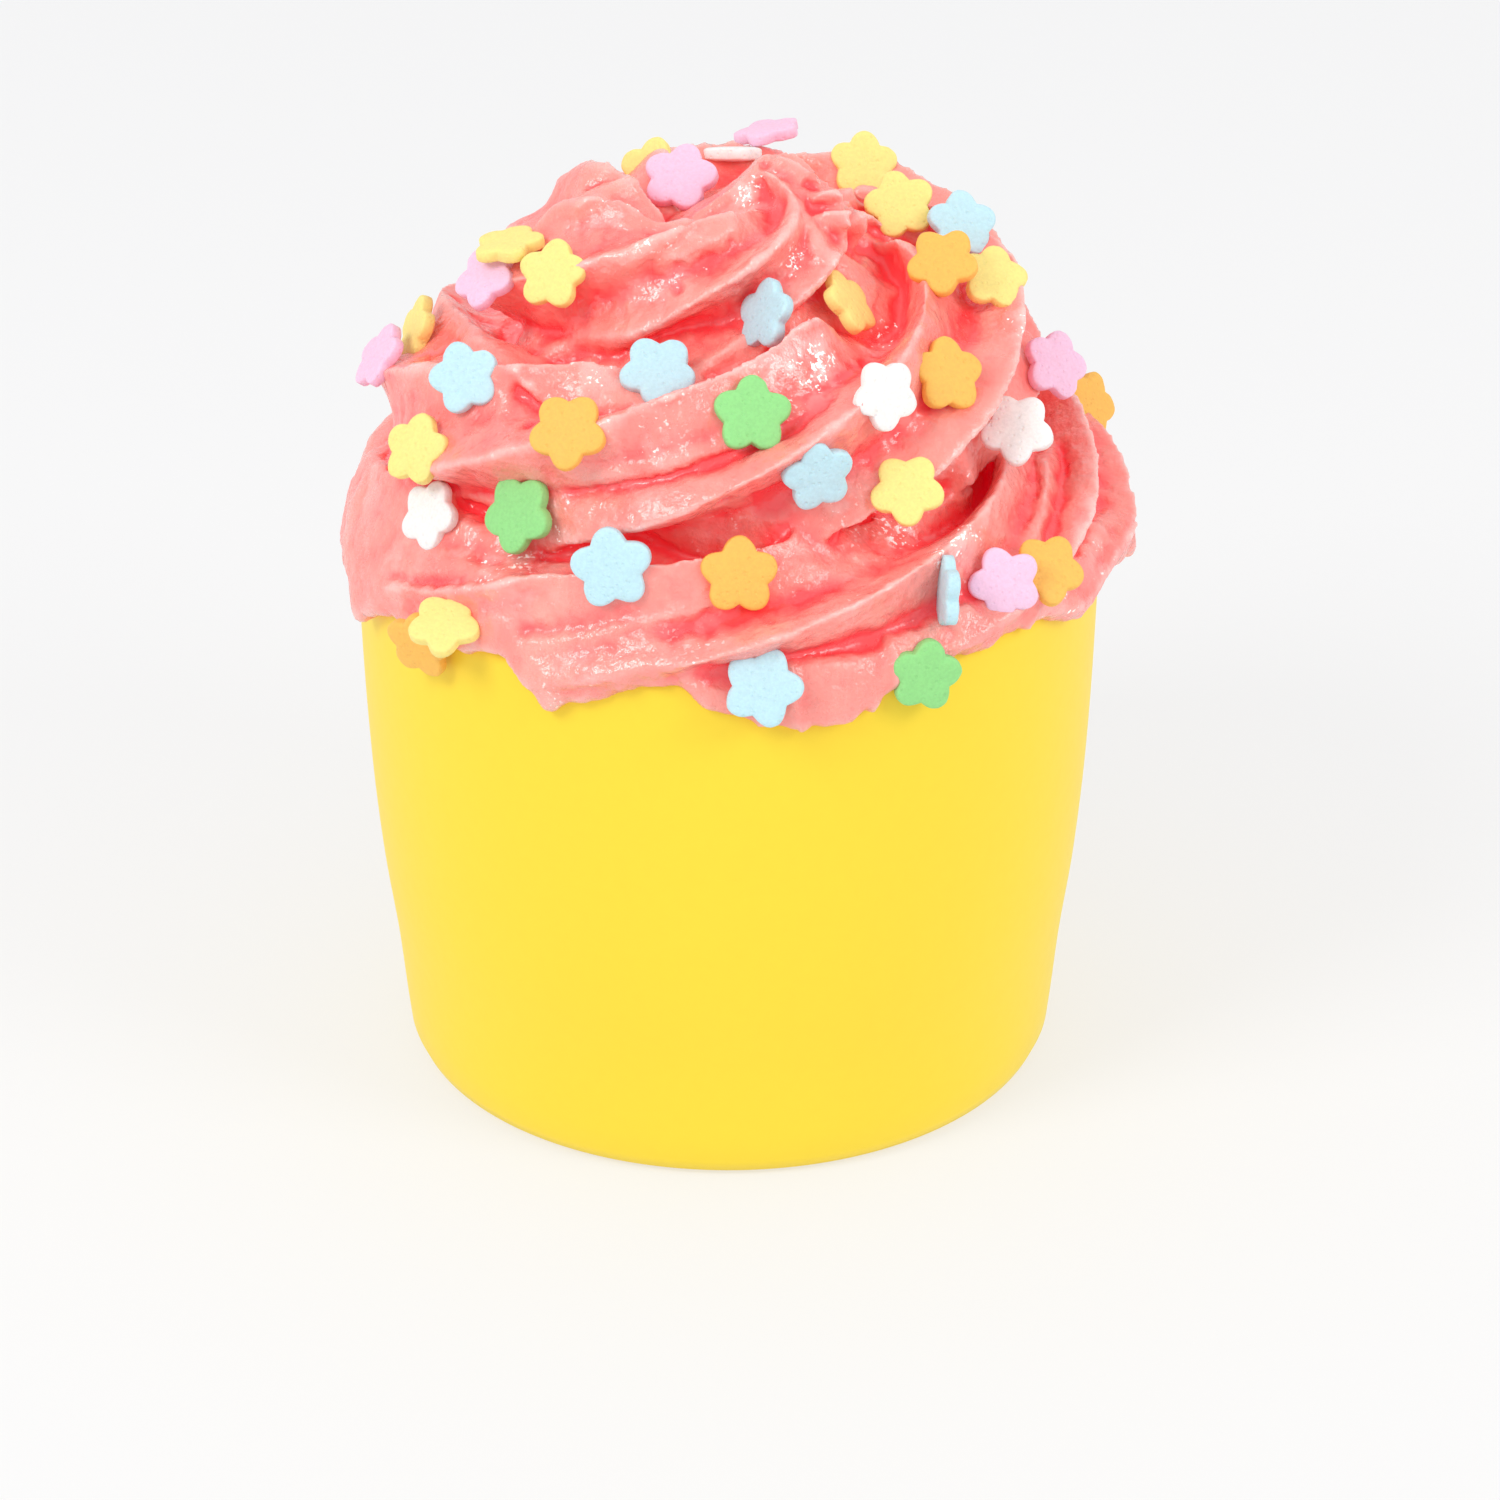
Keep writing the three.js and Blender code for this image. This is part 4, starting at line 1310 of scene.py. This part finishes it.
def length_setting(label, about, default):
    return bpy.props.FloatProperty(
        name=label, description=about, unit="LENGTH", default=default, min=0.0001, precision=5)


def strength_setting(label, about, default):
    return bpy.props.FloatProperty(name=label, description=about, default=default, min=0.0)


def count_setting(label, about, default, least=0):
    return bpy.props.IntProperty(name=label, description=about, default=default, min=least)


class FrostingSettings(bpy.types.PropertyGroup):
    teeth: count_setting("Teeth", "Points of the piping nozzle's star", 5, 3)
    groove_depth: bpy.props.FloatProperty(
        name="Groove depth", description="Depth of the grooves, as a share of the rope's radius",
        default=0.46, min=0.0, max=0.8, subtype="FACTOR")
    skin_size: length_setting("Skin size", "Size of the finest faces on the frosting", 0.00034)
    most_faces: count_setting("Most faces", "Triangles that the skin is thinned to", 190000)
    colour: colour_setting("Colour", "Colour of the broad surfaces", (0.99, 0.38, 0.32))
    # Painted highlight colour on the thin ridges.
    ridge_highlight_colour: colour_setting("Ridge colour", "Colour of the thin ridges", (1.0, 0.68, 0.64))
    # Painted shade colour deep in the grooves.
    groove_shade_colour: colour_setting("Groove colour", "Colour deep in the grooves", (0.98, 0.08, 0.09))
    # Frosting that faces this way gets painted glints.
    glint_direction: bpy.props.FloatVectorProperty(
        name="Glint direction", description="Which way the glittering patches face", subtype="DIRECTION",
        default=(0.05, -0.75, 0.65))


class FlowerSettings(bpy.types.PropertyGroup):
    width: length_setting("Width", "Width across a flower's petals", FLOWER_WIDTH_MM * MM)
    thickness: length_setting("Thickness", "Thickness of a flower", FLOWER_THICKNESS_MM * MM)
    far_side: count_setting("Far side", "Flowers on the side away from the camera", 28)
    seed: count_setting("Seed", "Chooses where the far side's flowers fall", 4)


class CupSettings(bpy.types.PropertyGroup):
    colour: colour_setting("Card colour", "Colour of the baking cup", (0.98, 0.72, 0.045))
    sides: count_setting("Sides", "Faces round the cup", 180, 32)


class StageSettings(bpy.types.PropertyGroup):
    floor_colour: colour_setting("Floor colour", "Colour of the floor and backdrop", (0.3, 0.3, 0.305))
    glow: strength_setting("Glow", "Light that the floor and backdrop give off", 0.59)
    key_watts: strength_setting("Main light", "Power of the large light", 1.35)
    fill_watts: strength_setting("Fill light", "Power of the light from the other side", 0.82)
    sky: strength_setting("Sky", "Strength of the even light from all round", 0.78)


# ------------------------------------------------------------------ pieces


class CUPCAKE_OT_frosting(bpy.types.Operator):
    """Pipe the frosting swirl over the cake"""

    bl_idname = "cupcake.frosting"
    bl_label = "Frosting"

    def execute(self, context):
        settings = context.scene.cupcake_frosting
        material = frosting_material(settings)
        coil = coil_object(settings.teeth)
        values = {"Teeth": settings.teeth, "Groove depth": settings.groove_depth, "Material": material}
        rope = rope_tree().apply(coil, "rope", **values)
        outward(rope)
        flowed = new_object("flowed rope", rope)
        block = slumped(joined_mesh([rope, core_mesh(), fill_mesh(), skirt_mesh()]))
        slumped(rope)
        block = new_object("block", remeshed(block, settings.skin_size))
        grabbed(block.data)
        folds = folds_object(block.data)
        folded = fold_tree().apply(block, "folded", Folds=folds, Material=material)
        bpy.data.objects.remove(block)
        block = new_object("block", remeshed(folded, settings.skin_size))
        skin = thinned(skin_tree().apply(block, "skin", Rope=flowed, Material=material), settings.most_faces)
        outward(skin)
        shade_smooth(skin)
        note_painted_shine(skin)
        made = finish_piece("frosting_swirl", skin, material)
        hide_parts("frosting")
        for spent in (coil, flowed, folds, block):
            bpy.data.objects.remove(spent)
        return {"FINISHED"}


class CUPCAKE_OT_flowers(bpy.types.Operator):
    """Scatter the sugar flowers over the frosting"""

    bl_idname = "cupcake.flowers"
    bl_label = "Sugar flowers"

    def execute(self, context):
        settings = context.scene.cupcake_flowers
        frosting = bpy.data.objects["frosting_swirl"].data
        skin = Skin(frosting)
        rng = np.random.default_rng(settings.seed)
        placed = {colour: [] for colour in SUGAR_COLOURS}
        taken = []
        for spot in SPOTS:
            middle, direction, petal = skin.place(spot)
            taken.append(middle)
            placed[spot.colour].append((middle, facing_euler(direction, petal), spot.size))
        names = list(SUGAR_COLOURS)
        for middle, direction, petal in skin.scatter(frosting, settings.far_side, taken, settings.seed):
            colour = names[rng.integers(len(names))]
            placed[colour].append((middle, facing_euler(direction, petal), rng.uniform(*SCATTER_SIZES)))
        tree = flower_tree()
        for number, (colour, flowers) in enumerate(placed.items()):
            middles, turns, sizes = zip(*flowers)
            mesh = bpy.data.meshes.new("spots")
            mesh.from_pydata(middles, [], [])
            note(mesh, "turned", turns)
            note(mesh, "size", sizes)
            spots = new_object("spots", mesh)
            material = sugar_material("sugar " + colour, SUGAR_COLOURS[colour])
            values = {"Width": settings.width, "Thickness": settings.thickness, "Seed": float(number)}
            petals = tree.apply(spots, "sugar_flowers_" + colour, Material=material, **values)
            bpy.data.objects.remove(spots)
            outward(petals)
            shade_smooth(petals)
            finish_piece("sugar_flowers_" + colour, petals, material)
        return {"FINISHED"}


class CUPCAKE_OT_cup(bpy.types.Operator):
    """Make the baking cup"""

    bl_idname = "cupcake.cup"
    bl_label = "Baking cup"

    def execute(self, context):
        settings = context.scene.cupcake_cup
        heights = [z for _, z in CUP_OUTLINE_MM]
        radii = [r for r, _ in CUP_OUTLINE_MM]
        levels = [*heights[:3], *np.linspace(heights[3], CUP_TOP_MM, CUP_LEVELS)]
        outer = [(float(curve(heights, radii, z)), float(z)) for z in levels]
        rim = [(outer[-1][0] - CUP_WALL_MM / 2, CUP_TOP_MM + CUP_RIM_MM)]
        inner = [(r - CUP_WALL_MM, z) for r, z in reversed(outer[3:])] + [CUP_INSIDE_MM]
        circle = round_about(settings.sides)
        mesh = skinned("baking_cup", [(circle * r + (0, 0, z)) * MM for r, z in outer + rim + inner])
        shade_smooth(mesh)
        made = finish_piece("baking_cup_card", mesh, cup_material(settings))
        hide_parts("baking_cup")
        return {"FINISHED"}


class CUPCAKE_OT_cake(bpy.types.Operator):
    """Give the sponge its crumb"""

    bl_idname = "cupcake.cake"
    bl_label = "Sponge"

    def execute(self, context):
        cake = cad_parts["cake"]
        cake.data.materials.clear()
        cake.data.materials.append(sponge_material())
        return {"FINISHED"}


class CUPCAKE_OT_stage(bpy.types.Operator):
    """Set out the floor, the light and the camera"""

    bl_idname = "cupcake.stage"
    bl_label = "Stage"

    def execute(self, context):
        settings = context.scene.cupcake_stage
        scene = context.scene
        scene.view_settings.view_transform = "Standard"
        floor_stage(settings)
        light("main_light", MAIN_LIGHT_PLACE, settings.key_watts)
        light("fill_light", FILL_LIGHT_PLACE, settings.fill_watts)
        scene.world = bpy.data.worlds.new("sky")
        scene.world.use_nodes = True
        background = scene.world.node_tree.nodes["Background"]
        background.inputs["Color"].default_value = WHITE
        background.inputs["Strength"].default_value = settings.sky
        camera = bpy.data.cameras.new("camera")
        camera.lens = LENS_MM
        camera.sensor_width = SENSOR_MM
        made = new_object("camera", camera)
        made.location = CAMERA_PLACE
        made.rotation_euler = (math.radians(90 - CAMERA_DOWN_DEG), 0, 0)
        scene.camera = made
        return {"FINISHED"}


class CUPCAKE_PT_panel(bpy.types.Panel):
    """Lists the cupcake's pieces"""

    bl_idname = "CUPCAKE_PT_panel"
    bl_label = "Cupcake"
    bl_space_type = "VIEW_3D"
    bl_region_type = "UI"
    bl_category = "Cupcake"

    def draw(self, context):
        for kind in OPERATORS:
            self.layout.operator(kind.bl_idname)


OPERATORS = (CUPCAKE_OT_cup, CUPCAKE_OT_cake, CUPCAKE_OT_frosting, CUPCAKE_OT_flowers, CUPCAKE_OT_stage)
SETTINGS = {
    "cupcake_frosting": FrostingSettings, "cupcake_cup": CupSettings,
    "cupcake_flowers": FlowerSettings, "cupcake_stage": StageSettings,
}


def register():
    for kind in (*SETTINGS.values(), *OPERATORS, CUPCAKE_PT_panel):
        bpy.utils.register_class(kind)
    for name, kind in SETTINGS.items():
        setattr(bpy.types.Scene, name, bpy.props.PointerProperty(type=kind))


def unregister():
    for name in SETTINGS:
        delattr(bpy.types.Scene, name)
    for kind in (CUPCAKE_PT_panel, *reversed(OPERATORS), *SETTINGS.values()):
        bpy.utils.unregister_class(kind)


def main():
    register()
    bpy.ops.cupcake.cup()
    bpy.ops.cupcake.cake()
    bpy.ops.cupcake.frosting()
    bpy.ops.cupcake.flowers()
    bpy.ops.cupcake.stage()


if __name__ == "__main__":
    main()
